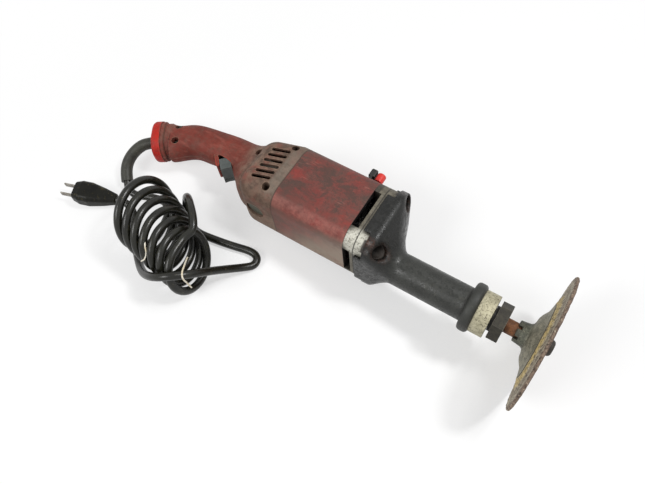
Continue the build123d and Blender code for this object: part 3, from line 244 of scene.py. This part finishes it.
def housing_paint():
    """Dull red paint, smudged grey-brown, worn and given a painted highlight along its upper ridge, lighter
    on the near side from wear and painted light, dusty low on the near side, with painted shade in recesses
    and on the sleeve's front end.
    """
    f = Finish("housing_paint")
    along = f.dot(tool_axis, seam_place)
    aside = f.dot(tool_side, seam_place)
    rise = f.dot(tool_up, seam_place)
    cloud = f.noise(0.034, 10, 0.70)
    patch = f.noise(0.012, 10, 0.74)
    fleck = f.noise(0.0030, 7, 0.72)
    colour = f.mix(f.band(cloud, 0.30, 0.68), tint(124, 54, 50), tint(92, 70, 63))
    colour = f.wear(f.band(patch, 0.38, 0.68), 0.60, tint(92, 70, 63), colour)
    colour = f.wear(f.band(fleck, 0.46, 0.68), 0.45, tint(148, 70, 62), colour)
    colour = f.wear(f.band(f.noise(0.0024, 7, 0.75), 0.50, 0.66), 0.55, tint(62, 51, 46), colour)
    rubs = f.noise(0.0045, 6, 0.7, stretch=(0.5, 1.0, 1.0))
    colour = f.wear(f.band(rubs, 0.58, 0.74), 0.40, tint(178, 92, 82), colour)
    smudge = f.noise(0.022, 12, 0.76, stretch=(0.6, 1.0, 1.0), distortion=0.5)
    colour = f.wear(f.band(smudge, 0.47, 0.58), 0.70, tint(70, 60, 54), colour)
    colour = f.wear(f.band(smudge, 0.45, 0.36), 0.45, tint(146, 56, 49), colour)
    strokes = f.noise(0.006, 9, 0.7, stretch=(1.0, 0.35, 1.0), distortion=1.2)
    colour = f.wear(f.band(strokes, 0.54, 0.66), 0.45, tint(64, 54, 48), colour)
    shoulder = f.math("SUBTRACT", rise, aside)
    near_top = f.both(f.band(shoulder, 0.056, 0.074), f.band(aside, -0.0436, -0.041))
    colour = f.wear(f.both(near_top, f.band(patch, 0.62, 0.40)), 0.40, tint(136, 58, 51), colour)
    # Near side lighter and greyer: partly worn paint, partly painted light from the front
    side = f.band(aside, -0.0395, -0.0432)
    front_low = f.math("ADD", f.both(along, 0.6), f.both(rise, -0.8))
    dust = f.both(side, f.band(front_low, 0.004, 0.052))
    dust = f.both(dust, f.band(cloud, 0.72, 0.42))
    colour = f.wear(side, 0.35, tint(128, 92, 82), colour)
    colour = f.wear(dust, 0.80, tint(148, 136, 121), colour)
    # Painted highlight along the upper ridge, broken up like wear
    ridge = f.band(shoulder, 0.0722, 0.0754)
    colour = f.wear(f.both(ridge, f.band(patch, 0.36, 0.60)), 0.40, tint(186, 112, 101), colour)
    scratches = f.noise(0.0030, 4, 0.5, stretch=(0.16, 1.0, 1.0), distortion=0.4)
    colour = f.wear(f.band(scratches, 0.64, 0.74), 0.22, tint(184, 128, 114), colour)
    colour = f.wear(f.edges(0.0012), 0.50, tint(150, 126, 114), colour)
    # Painted shade in small recesses, then near-black painted shade deep inside the sleeve
    colour = f.wear(f.hollows(0.004), 0.75, tint(44, 36, 32), colour)
    colour = f.wear(f.band(f.hollows(0.030), 0.50, 0.80), 0.95, tint(14, 12, 11), colour)
    colour = f.wear(f.band(along, 0.0011, 0.0003), 0.6, tint(48, 38, 34), colour)
    # Painted shade: the sleeve's front end face darkened nearly black
    front_face_shade = f.band(along, sleeve_front - 0.0006, sleeve_front - 0.0001)
    colour = f.wear(front_face_shade, 0.92, tint(14, 12, 11), colour)
    rough = f.blend(patch, 0.44, 0.74)
    height = f.math("ADD", f.noise(0.0016, 4), f.both(patch, 0.8))
    return f.finish(colour, rough, height, 0.0003, 0.35, rounding=0.0009, gloss=0.25)


def cast_aluminium():
    """Cast metal: bright and finely speckled on the nose and on one rubbed lug, dirty elsewhere, with painted
    shade in recesses, in the screw pockets and inside the sleeve's front end.
    """
    f = Finish("cast_aluminium")
    along = f.dot(tool_axis, seam_place)
    blotch = f.noise(0.009, 7, 0.7)
    pits = f.noise(0.0020, 6, 0.74)
    clean = f.mix(f.band(blotch, 0.34, 0.68), tint(162, 156, 130), tint(194, 188, 160))
    dirty = f.mix(f.band(blotch, 0.34, 0.66), tint(88, 83, 72), tint(120, 114, 100))
    lug_area = f.around(bright_lug, 0.013, 0.021)
    # Painted shade: the diaphragm inside the sleeve's front end darkened nearly black, except on the lug
    diaphragm_shade = f.both(f.band(along, 0.0990, 0.0982), f.math("SUBTRACT", 1.0, lug_area))
    colour = f.wear(diaphragm_shade, 0.75, tint(18, 16, 14), dirty)
    lug = f.both(lug_area, f.band(blotch, 0.20, 0.44))
    colour = f.wear(lug, 0.95, tint(196, 194, 182), colour)
    colour = f.mix(f.band(along, nose_start - 0.005, nose_start + 0.005), colour, clean)
    colour = f.wear(f.band(pits, 0.49, 0.62), 0.80, tint(78, 71, 57), colour)
    # Painted shade: the screw pockets darkened nearly black
    for aside, rise in screw_places:
        colour = f.wear(f.pocket(aside, rise), 0.92, tint(38, 29, 25), colour)
    joint = f.math("ABSOLUTE", f.math("SUBTRACT", along, joint_station))
    colour = f.wear(f.band(joint, 0.0009, 0.0003), 0.85, tint(28, 25, 21), colour)
    # Painted shade in recesses, near black in the deepest
    colour = f.wear(f.hollows(0.010), 0.90, tint(30, 27, 22), colour)
    colour = f.wear(f.band(f.hollows(0.030), 0.55, 0.85), 0.95, tint(12, 11, 10), colour)
    rough = f.blend(pits, 0.40, 0.72)
    return f.finish(colour, rough, pits, 0.0004, 0.45, metallic=0.3, rounding=0.0009)


def boot_rubber():
    """Near-black rubber with dusty smears, rust round the screw pockets, shine in spots and painted shade in
    recesses.
    """
    f = Finish("boot_rubber")
    along = f.dot(tool_axis, seam_place)
    blotch = f.noise(0.020, 8, 0.65)
    fine = f.noise(0.0030, 5, 0.62)
    colour = f.mix(f.band(blotch, 0.34, 0.68), tint(33, 34, 32), tint(47, 48, 45))
    smears = f.noise(0.007, 8, 0.72, stretch=(1.0, 1.0, 0.4))
    colour = f.wear(f.band(smears, 0.54, 0.78), 0.40, tint(100, 98, 88), colour)
    body = f.band(along, neck_start + 0.010, neck_start - 0.010)
    colour = f.wear(body, 0.75, tint(13, 13, 12), colour)
    neck = f.band(along, neck_start - 0.005, neck_start + 0.020)
    colour = f.wear(neck, 0.20, tint(66, 67, 62), colour)
    colour = f.wear(f.band(f.noise(0.0022, 5, 0.7), 0.60, 0.74), 0.35, tint(118, 116, 106), colour)
    # Painted shade in recesses
    colour = f.wear(f.hollows(0.010), 0.85, tint(26, 23, 20), colour)
    stain = f.band(f.noise(0.004, 6, 0.7), 0.40, 0.58)
    for aside, rise in screw_places:
        rusty = f.both(f.pocket(aside, rise, 0.008, 0.013), stain)
        colour = f.wear(rusty, 0.35, tint(78, 52, 41), colour)
    notch = f.both(f.around(torn_notch, 0.0030, 0.0080), stain)
    colour = f.wear(notch, 0.70, tint(82, 50, 36), colour)
    collar = f.band(along, collar_start - 0.0025, collar_start + 0.0025)
    shine = f.math("MAXIMUM", f.band(f.noise(0.005, 6, 0.65), 0.36, 0.64), collar)
    height = f.math("ADD", fine, f.both(f.noise(0.009, 4, 0.6), 0.5))
    rough = f.blend(shine, 0.18, 0.50)
    return f.finish(colour, rough, height, 0.0006, 0.50, rounding=0.0060, gloss=0.33)


def steel(name, light, dark, spots, rough_low=0.35, rough_high=0.65, metallic=0.7):
    """Bare or plated steel with blotches, specks and painted shade in its corners."""
    f = Finish(name)
    blotch = f.noise(0.007, 6, 0.65)
    specks = f.noise(0.0018, 5, 0.7)
    colour = f.mix(f.band(blotch, 0.36, 0.64), light, dark)
    colour = f.wear(f.band(specks, 0.52, 0.66), 0.75, spots, colour)
    # Painted shade in corners
    colour = f.wear(f.hollows(0.005), 0.7, tint(30, 26, 22), colour)
    colour = f.wear(f.edges(0.0009), 0.45, tint(170, 164, 150), colour)
    rough = f.blend(specks, rough_low, rough_high)
    return f.finish(colour, rough, specks, 0.0003, 0.45, metallic=metallic, rounding=0.0006)


def abrasive():
    """Fibre disc: grey-brown back with a thin tan ring by the flange, and a dark gritty rim and face."""
    f = Finish("abrasive")
    axis_place = seam_place + Vector((0, spindle_offset, 0))
    aside = f.dot(tool_side, axis_place)
    rise = f.dot(tool_up, axis_place)
    squares = f.math("ADD", f.both(aside, aside), f.both(rise, rise))
    radius = f.math("SQRT", squares)
    grit = f.noise(0.0030, 5, 0.72)
    wave = f.both(f.math("SUBTRACT", f.noise(0.02, 4), 0.5), 0.010)
    reach = f.math("ADD", radius, wave)
    colour = f.mix(f.band(f.noise(0.006, 6, 0.7), 0.36, 0.66), tint(186, 175, 152), tint(142, 133, 114))
    tan = f.both(f.band(reach, 0.041, 0.043), f.band(reach, 0.054, 0.049))
    colour = f.wear(tan, 0.85, tint(204, 178, 112), colour)
    dark_ring = f.both(f.band(reach, 0.052, 0.056), f.band(reach, 0.064, 0.060))
    colour = f.wear(dark_ring, 0.45, tint(108, 90, 74), colour)
    rim = f.band(reach, 0.0690, 0.0725)
    colour = f.wear(rim, 0.75, tint(104, 78, 64), colour)
    facing = f.node("ShaderNodeTexCoord").outputs["Normal"]
    ahead = f.node("ShaderNodeVectorMath", {0: facing, 1: tool_axis}, operation="DOT_PRODUCT")
    colour = f.wear(f.band(ahead.outputs["Value"], 0.2, 0.6), 0.85, tint(100, 74, 61), colour)
    colour = f.wear(f.band(grit, 0.47, 0.60), 0.80, tint(46, 37, 31), colour)
    bright = f.band(f.noise(0.0034, 4, 0.65), 0.60, 0.68)
    colour = f.wear(bright, 0.85, tint(214, 202, 176), colour)
    return f.finish(colour, f.blend(grit, 0.55, 0.9), grit, 0.0008, 0.7)


def flange_metal():
    """Rough greenish hub that runs into a speckled, browner dome."""
    f = Finish("flange_metal")
    along = f.dot(tool_axis, seam_place)
    blotch = f.noise(0.006, 7, 0.7)
    grain = f.noise(0.0022, 6, 0.72)
    hub = f.mix(f.band(blotch, 0.38, 0.62), tint(100, 101, 86), tint(62, 63, 52))
    dome = f.mix(f.band(blotch, 0.34, 0.66), tint(152, 147, 128), tint(114, 111, 96))
    colour = f.mix(f.band(along, 0.2955, 0.3000), hub, dome)
    colour = f.wear(f.band(grain, 0.50, 0.62), 0.65, tint(54, 51, 43), colour)
    colour = f.wear(f.band(f.noise(0.0026, 4, 0.65), 0.60, 0.70), 0.55, tint(168, 162, 140), colour)
    colour = f.wear(f.band(along, 0.3064, 0.3069), 0.60, tint(62, 58, 50), colour)
    # Painted shade in recesses
    colour = f.wear(f.hollows(0.005), 0.75, tint(28, 25, 21), colour)
    rough = f.blend(grain, 0.42, 0.72)
    return f.finish(colour, rough, grain, 0.0005, 0.55, metallic=0.25, rounding=0.0006)


def moulded(
    name, light, dark, dust, rough_low=0.35, rough_high=0.6, dust_share=0.4, rounding=0.0006, gloss=0.35
):
    """Moulded plastic or rubber with faint cloudiness, dust and lighter edges."""
    f = Finish(name)
    blotch = f.noise(0.010, 5, 0.6)
    fine = f.noise(0.0016, 4, 0.6)
    colour = f.mix(f.band(blotch, 0.38, 0.64), light, dark)
    colour = f.wear(f.band(f.noise(0.005, 6, 0.7), 0.55, 0.72), dust_share, dust, colour)
    colour = f.wear(f.edges(0.0010), 0.35, dust, colour)
    rough = f.blend(fine, rough_low, rough_high)
    return f.finish(colour, rough, fine, 0.0002, 0.35, rounding=rounding, gloss=gloss)


def copper_wire():
    f = Finish("copper_wire")
    wave = f.node("ShaderNodeTexWave", {"Vector": f.place, "Scale": 600.0, "Distortion": 2.0})
    strands = wave.outputs["Fac"]
    colour = f.mix(strands, tint(120, 66, 40), tint(186, 116, 74))
    return f.finish(colour, 0.4, strands, 0.0004, 0.6, metallic=0.6)


finishes = {
    "handle_plastic": handle_plastic(),
    "ring_plastic": ring_plastic(),
    "housing_paint": housing_paint(),
    "cast_aluminium": cast_aluminium(),
    "boot_rubber": boot_rubber(),
    "flange_metal": flange_metal(),
    "abrasive": abrasive(),
    "copper": copper_wire(),
}

# Light, dark and spot colours, lowest and highest roughness, metal share
steels = {
    "plain_steel": (tint(150, 146, 138), tint(112, 106, 98), tint(74, 56, 44)),
    "rusty_steel": (tint(52, 48, 37), tint(35, 32, 24), tint(24, 20, 16), 0.5, 0.8, 0.2),
    "rusty_shaft": (tint(128, 82, 48), tint(94, 58, 33), tint(50, 34, 24), 0.5, 0.8, 0.3),
    "rusty_screw": (tint(104, 62, 44), tint(78, 48, 36), tint(42, 30, 24), 0.5, 0.8, 0.2),
    "zinc_steel": (tint(118, 121, 108), tint(90, 93, 83), tint(62, 62, 53), 0.42, 0.7, 0.35),
    "dark_steel": (tint(40, 38, 34), tint(28, 26, 24), tint(18, 16, 14), 0.45, 0.7, 0.2),
    "dark_casting": (tint(62, 56, 48), tint(46, 41, 35), tint(30, 26, 22), 0.5, 0.75, 0.2),
    "lamination": (tint(92, 92, 94), tint(70, 70, 72), tint(50, 46, 44)),
    "bronze": (tint(160, 126, 78), tint(128, 98, 60), tint(82, 62, 40)),
}
finishes.update({name: steel(name, *values) for name, values in steels.items()})

# Light, dark and dust colours, lowest and highest roughness, dust share, rounding of edges, gloss
mouldings = {
    "fan_plastic": (tint(44, 44, 44), tint(32, 32, 32), tint(92, 88, 80)),
    "black_plastic": (tint(40, 40, 39), tint(28, 28, 27), tint(96, 92, 84)),
    "cap_plastic": (tint(98, 98, 86), tint(74, 75, 66), tint(136, 130, 114), 0.4, 0.65, 0.5),
    "trigger_plastic": (tint(84, 89, 87), tint(70, 75, 73), tint(122, 122, 114)),
    "lock_plastic": (tint(222, 58, 50), tint(202, 48, 42), tint(232, 110, 96), 0.3, 0.45),
    "cord_rubber": (tint(27, 27, 20), tint(16, 16, 12), tint(96, 92, 68), 0.20, 0.38, 0.40, 0.0, 0.38),
    "protector_rubber": (tint(60, 60, 53), tint(46, 46, 41), tint(112, 110, 98), 0.34, 0.6, 0.4, 0.0006, 0.3),
    "tie_wire": (tint(240, 236, 224), tint(226, 212, 182), tint(248, 246, 240), 0.4, 0.6),
    "plug_plastic": (tint(24, 24, 20), tint(15, 15, 13), tint(98, 90, 60), 0.30, 0.5, 0.45, 0.0006, 0.14),
}
finishes.update({name: moulded(name, *values) for name, values in mouldings.items()})

# Nodes that look unlike the rest of their slot
other_finish = {
    "spindle": "rusty_shaft",
    "gear_case_screws": "rusty_screw",
    "handle_screws": "dark_casting",
    "dust_slinger": "dark_steel",
    "rear_bearing_bridge": "dark_casting",
    "brush_caps": "cap_plastic",
}


def dress(node, finish):
    slots = nodes[node].data.materials
    slots.clear()
    slots.append(finishes[finish])


for entry in frame["record"]["subparts"]:
    dress(entry["node"], other_finish.get(entry["node"], entry["material_slot"]))

# Disc end: flange, used disc and clamp nut as turned meshes, in tool millimetres
hub_rear = 285.6
hub_slot_depth = 4.0
hub_slot_half = 2.0
hub_slot_count = 6
flange_profile = [
    (hub_rear, 8.0),
    (hub_rear, 11.0),
    (hub_rear + 0.6, 11.6),
    (290.2, 12.0),
    (295.5, 12.8),
    (297.8, 14.2),
    (298.9, 17.5),
    (299.6, 22.6),
    (301.2, 26.2),
    (303.2, 29.6),
    (304.4, 31.3),
    (305.3, 34.0),
    (306.4, 39.0),
    (306.8, 41.0),
    (307.25, 41.0),
    (307.25, 11.0),
    (311.8, 11.0),
    (311.8, 8.0),
]
disc_profile = [
    (307.3, 11.1),
    (307.3, 44.0),
    (308.9, 50.0),
    (310.4, 55.0),
    (311.0, 59.0),
    (311.0, 63.5),
    (311.0, 68.0),
    (311.0, 71.5),
    (311.2, 73.4),
    (311.9, 74.4),
    (312.8, 74.5),
    (313.7, 74.4),
    (314.4, 73.4),
    (314.6, 71.5),
    (314.6, 66.0),
    (314.6, 58.0),
    (312.3, 44.0),
    (312.3, 11.1),
]
clamp_profile = [
    (312.4, 8.0),
    (312.4, 12.0),
    (316.9, 12.0),
    (318.2, 10.8),
    (318.6, 9.0),
    (321.8, 8.6),
    (323.2, 7.6),
    (324.0, 6.2),
    (324.0, 0.0),
    (320.6, 0.0),
    (320.6, 8.0),
]
worn_from = 62.0
worn_to = 74.5


def plain(station, radius, angle):
    return station, radius


def slotted(station, radius, angle):
    """Cuts the slots into the rear end of the flange's hub."""
    share = angle * hub_slot_count / (2 * pi) % 1.0 - 0.5
    from_slot = abs(share) * 2 * pi / hub_slot_count * radius
    if station < hub_rear + 1 and from_slot < hub_slot_half:
        return station + hub_slot_depth, radius
    return station, radius


def worn(station, radius, angle):
    """Chips the disc's rim and ripples the part of its back that lies outside the flange."""
    spot = Vector((cos(angle), sin(angle), 0)) * radius
    share = min(max((radius - worn_from) / (worn_to - worn_from), 0), 1)
    chips = noise.noise(spot * 0.45) + 0.7 * noise.noise(spot * 1.1)
    ripple = noise.noise(spot * 0.16 + Vector((0, 0, 7)))
    return station + share * 0.5 * ripple, radius + share ** 3 * (0.8 * chips - 0.4)


def turned(name, profile, warp, segments=360):
    """Closed mesh turned about the spindle, each point of its profile moved by warp."""
    middle = seam_place + Vector((0, spindle_offset, 0))
    points = []
    for index in range(segments):
        angle = 2 * pi * index / segments
        across = Vector((0, cos(angle), 0)) + tool_up * sin(angle)
        for place in profile:
            station, radius = warp(*place, angle)
            points.append(middle + (tool_axis * station + across * radius) * mm)
    count = len(profile)
    faces = []
    for index in range(segments):
        near = index * count
        far = (index + 1) % segments * count
        for step in range(count):
            after = (step + 1) % count
            faces.append((near + step, near + after, far + after, far + step))
    mesh = bpy.data.meshes.new(name)
    mesh.from_pydata(points, [], faces)
    shape = bmesh.new()
    shape.from_mesh(mesh)
    bmesh.ops.remove_doubles(shape, verts=shape.verts, dist=0.000001)
    bmesh.ops.recalc_face_normals(shape, faces=shape.faces)
    shape.to_mesh(mesh)
    shape.free()
    mesh.polygons.foreach_set("use_smooth", [True] * len(mesh.polygons))
    mesh.set_sharp_from_angle(angle=radians(35))
    made = bpy.data.objects.new(name, mesh)
    bpy.context.scene.collection.objects.link(made)
    return made


def paint(piece, finish):
    piece.data.materials.append(finishes[finish])


turned_pieces = [
    ("domed_flange", "backing_flange", flange_profile, slotted, "flange_metal", "zinc_steel"),
    ("worn_disc", "grinding_disc", disc_profile, worn, "abrasive", "abrasive"),
    ("capped_nut", "clamp_nut", clamp_profile, plain, "dark_casting", "rusty_steel"),
]
for name, node, profile, warp, finish, slot in turned_pieces:
    piece = turned(name, profile, warp)
    paint(piece, finish)
    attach(piece, "spindle")
    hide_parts(node)

# Cord: the route's points in millimetres from the seam, on the ground, as the CAD has them
to_row = Vector((seam_place.x, seam_place.y, 0))
cord_radius = 4.75
protector_radius = 7.2
tie_radius = 0.9
straight_run = 9.5
clamp_point = (-180.52, -18.65, 30.72)
ring_point = (-191.67, -25.64, 29.73)
protector_bends = [(-201.64, -31.90, 28.85), (-209, -45.5, 25), (-211, -60, 19.5), (-207, -73, 13.5)]
protector_end = (-198, -82.5, 9.5)
lead_bends = [(-181, -91.5, 5), (-168.5, -86, 4.75), (-153, -79.5, 4.75), (-138.5, -79, 4.75)]
tail_arch = [
    (-62.5, -107.5, 62.5),
    (-69.5, -97.5, 65),
    (-80.5, -87.5, 64),
    (-93, -78, 57),
    (-105, -70.5, 43),
]
tail_drop = [(-112, -68, 27), (-111, -74.5, 12.5), (-101, -85, 5.4), (-84, -91, 4.75), (-60, -87, 4.75)]
tail_fold = [(-36, -82, 4.75), (-13, -75.5, 4.75), (-2, -79, 4.75), (0, -89.5, 5), (-9, -100, 9.5)]
tail_front = [(-18, -112.5, 19), (-25, -126, 33), (-31.5, -140.5, 48), (-40, -154.5, 59), (-53, -166.5, 62)]
tail_curl = [(-69, -173, 52.5), (-87.5, -172.5, 34.5), (-105.5, -165.5, 16.5), (-121, -155.5, 6)]
tail_plug = [(-134.5, -144.5, 4.75), (-147.5, -131, 4.75), (-158.5, -119, 5), (-168.5, -108.5, 7.5)]
tail_end = Vector((-191, -110.4, 12))
plug_direction = Vector((-0.935, -0.35, 0.02))

# Coil: leaning loops that shrink from the handle's side towards the free end
coil_turns = 6.5
coil_steps = 16
coil_start = Vector((-136.4, -112.8))
coil_stop = Vector((-50.8, -135.8))
coil_radius_ends = (42.0, 31.5)
coil_heading_ends = (radians(12.3), radians(9.9))
coil_lean_ends = (radians(19.5), radians(26.7))


def between(ends, share):
    return ends[0] + (ends[1] - ends[0]) * share


def coil_point(turn, swell=1.0):
    """Point on the coil's middle line after a number of turns from its first foot."""
    share = turn / coil_turns
    radius = between(coil_radius_ends, share)
    heading = between(coil_heading_ends, share)
    tilt = between(coil_lean_ends, share)
    ahead = Vector((cos(heading), sin(heading), 0))
    aside = Vector((sin(heading), -cos(heading), 0))
    rise = Vector((0, 0, cos(tilt))) - ahead * sin(tilt)
    foot = between((coil_start, coil_stop), share)
    centre = Vector((foot.x, foot.y, radius * cos(tilt) + cord_radius))
    angle = 2 * pi * turn - pi / 2
    return centre + (aside * cos(angle) + rise * sin(angle)) * radius * swell


def coil_tangent(turn):
    step = 1 / 3600
    return (coil_point(turn + step) - coil_point(turn - step)).normalized()


def tube(name, points, radius, radii=None):
    """Smooth round tube along control points given in millimetres from the seam."""
    curve = bpy.data.curves.new(name, "CURVE")
    curve.dimensions = "3D"
    curve.bevel_depth = radius * mm
    curve.bevel_resolution = 7
    curve.resolution_u = 6
    curve.use_fill_caps = True
    spline = curve.splines.new("NURBS")
    spline.points.add(len(points) - 1)
    for index, point in enumerate(points):
        spline.points[index].co = (*(Vector(point) * mm + to_row), 1.0)
        spline.points[index].radius = radii[index] if radii else 1.0
    spline.order_u = 3
    spline.use_endpoint_u = True
    made = bpy.data.objects.new(name, curve)
    bpy.context.scene.collection.objects.link(made)
    return made


protector_heading = (Vector(protector_end) - Vector(protector_bends[-1])).normalized()
coil_first = coil_point(0) - coil_tangent(0) * 2 * cord_radius
coil_last = coil_point(coil_turns) + coil_tangent(coil_turns) * 2 * cord_radius
coil_swell = 1 / cos(pi / coil_steps)
coil_loops = [coil_point(step / coil_steps, coil_swell) for step in range(round(coil_turns * coil_steps) + 1)]
route = [
    ring_point,
    *protector_bends,
    protector_end,
    Vector(protector_end) + protector_heading * straight_run,
    *lead_bends,
    coil_first - coil_tangent(0) * straight_run,
    coil_first,
    *coil_loops,
    coil_last,
    coil_last + coil_tangent(coil_turns) * straight_run,
    *tail_arch,
    *tail_drop,
    *tail_fold,
    *tail_front,
    *tail_curl,
    *tail_plug,
    tail_end - plug_direction * straight_run,
    tail_end,
]
supply_cord = tube("supply_cord", route, cord_radius)
paint(supply_cord, "cord_rubber")
protector_route = [clamp_point, *protector_bends, protector_end]
cord_sleeve = tube("cord_sleeve", protector_route, protector_radius)
paint(cord_sleeve, "protector_rubber")
tie_routes = {
    "tie_rear": [
        (-97.5, -146.5, 66),
        (-94.3, -149.2, 68),
        (-92.7, -152.3, 65.3),
        (-91.2, -154, 62.4),
        (-89.8, -155.9, 59.7),
        (-88.9, -159.1, 57.4),
        (-89.1, -162.1, 54.7),
        (-93.5, -164.2, 49),
        (-96.5, -163, 43),
    ],
    "tie_front": [
        (-53.5, -133.5, 49),
        (-52.3, -134.4, 52),
        (-49.1, -139.1, 57),
        (-44.7, -146.5, 62),
        (-41.1, -153.7, 64.6),
        (-38.3, -157.5, 64),
        (-37.0, -158.6, 58),
        (-38.2, -156.6, 46),
        (-39, -155, 32),
        (-39.8, -153.5, 19.5),
    ],
}
ties = [tube(name, points, tie_radius) for name, points in tie_routes.items()]
for tie in ties:
    paint(tie, "tie_wire")
    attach(tie, "housing")
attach(supply_cord, "housing")
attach(cord_sleeve, "housing")
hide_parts("cord_lead", "cord_coil", "cord_tail")
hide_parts("cord_protector")

# Floor, light and camera
floor_side = 6.0
floor_colour = (0.97, 0.97, 0.97, 1)
shadow_place = (0.12, -0.08, 0.0)
floor_fade = {"From Min": 0.15, "From Max": 0.70, "To Min": 0.48, "To Max": 1.0}
world_light = 0.3
floor_mesh = bpy.data.meshes.new("floor")
corners = [(-1, -1), (1, -1), (1, 1), (-1, 1)]
floor_mesh.from_pydata([(x * floor_side, y * floor_side, 0) for x, y in corners], [], [(0, 1, 2, 3)])
floor = bpy.data.objects.new("floor", floor_mesh)
bpy.context.scene.collection.objects.link(floor)


def seen_rays(tree):
    """Share of 1 for rays that see the background: straight from the camera, mirrored or let through."""
    path = tree.nodes.new("ShaderNodeLightPath")
    share = path.outputs["Is Camera Ray"]
    for name in ("Is Glossy Ray", "Is Transmission Ray"):
        either = tree.nodes.new("ShaderNodeMath")
        either.operation = "MAXIMUM"
        tree.links.new(share, either.inputs[0])
        tree.links.new(path.outputs[name], either.inputs[1])
        share = either.outputs[0]
    return share


def floor_finish():
    """Pale floor that keeps the shadows near the object and turns white away from it, where it is seen."""
    material = bpy.data.materials.new("floor")
    material.use_nodes = True
    tree = material.node_tree
    surface = tree.nodes["Principled BSDF"]
    surface.inputs["Base Color"].default_value = floor_colour
    surface.inputs["Roughness"].default_value = 0.9
    glow = tree.nodes.new("ShaderNodeEmission")
    share = tree.nodes.new("ShaderNodeMath")
    share.operation = "MULTIPLY"
    place = tree.nodes.new("ShaderNodeTexCoord")
    distance = tree.nodes.new("ShaderNodeVectorMath")
    fade = tree.nodes.new("ShaderNodeMapRange")
    fade.interpolation_type = "SMOOTHSTEP"
    for name, value in floor_fade.items():
        fade.inputs[name].default_value = value
    distance.operation = "DISTANCE"
    distance.inputs[1].default_value = shadow_place
    tree.links.new(place.outputs["Object"], distance.inputs[0])
    tree.links.new(distance.outputs["Value"], fade.inputs["Value"])
    tree.links.new(fade.outputs["Result"], share.inputs[1])
    blend = tree.nodes.new("ShaderNodeMixShader")
    tree.links.new(seen_rays(tree), share.inputs[0])
    tree.links.new(share.outputs[0], blend.inputs[0])
    tree.links.new(surface.outputs[0], blend.inputs[1])
    tree.links.new(glow.outputs[0], blend.inputs[2])
    tree.links.new(blend.outputs[0], tree.nodes["Material Output"].inputs["Surface"])
    return material


floor_mesh.materials.append(floor_finish())


def lamp(name, place, aim, size, power):
    light = bpy.data.lights.new(name, "AREA")
    light.shape = "DISK"
    light.size = size
    light.energy = power
    made = bpy.data.objects.new(name, light)
    made.location = place
    made.rotation_euler = (Vector(aim) - Vector(place)).to_track_quat("-Z", "Y").to_euler()
    bpy.context.scene.collection.objects.link(made)


lamp("key", (0.70, 0.50, 1.55), (0.05, 0, 0.05), 0.25, 11)
lamp("second", (0.40, 0.55, 1.70), (0.05, 0, 0.05), 0.4, 7)
lamp("front", (-0.7, -1.2, 1.3), (0.05, -0.05, 0.05), 0.9, 16)
world = bpy.data.worlds.new("studio")
world.use_nodes = True
world.node_tree.nodes["Background"].inputs["Color"].default_value = (1, 1, 1, 1)
world_strength = world.node_tree.nodes.new("ShaderNodeMapRange")
world_strength.inputs["To Min"].default_value = world_light
world_strength.inputs["To Max"].default_value = 1.0
world.node_tree.links.new(seen_rays(world.node_tree), world_strength.inputs["Value"])
world.node_tree.links.new(
    world_strength.outputs["Result"], world.node_tree.nodes["Background"].inputs["Strength"]
)
bpy.context.scene.world = world

camera_place = Vector((155.85, -258.19, 655.94)) * mm
camera_turn = 0.568
camera_drop = radians(65)
camera_focus = 600.0
photo_width = 645.0
right = Vector((cos(camera_turn), sin(camera_turn), 0))
level = Vector((-sin(camera_turn), cos(camera_turn), 0))
forward = level * cos(camera_drop) - Vector((0, 0, sin(camera_drop)))
above = right.cross(forward)
camera_data = bpy.data.cameras.new("camera")
camera_data.sensor_width = 36.0
camera_data.lens = camera_focus * camera_data.sensor_width / photo_width
camera_data.clip_start = 0.01
camera = bpy.data.objects.new("camera", camera_data)
turn = Matrix((right, above, -forward)).transposed().to_4x4()
camera.matrix_world = Matrix.Translation(camera_place) @ turn
bpy.context.scene.collection.objects.link(camera)
bpy.context.scene.camera = camera
bpy.context.scene.view_settings.view_transform = "Standard"
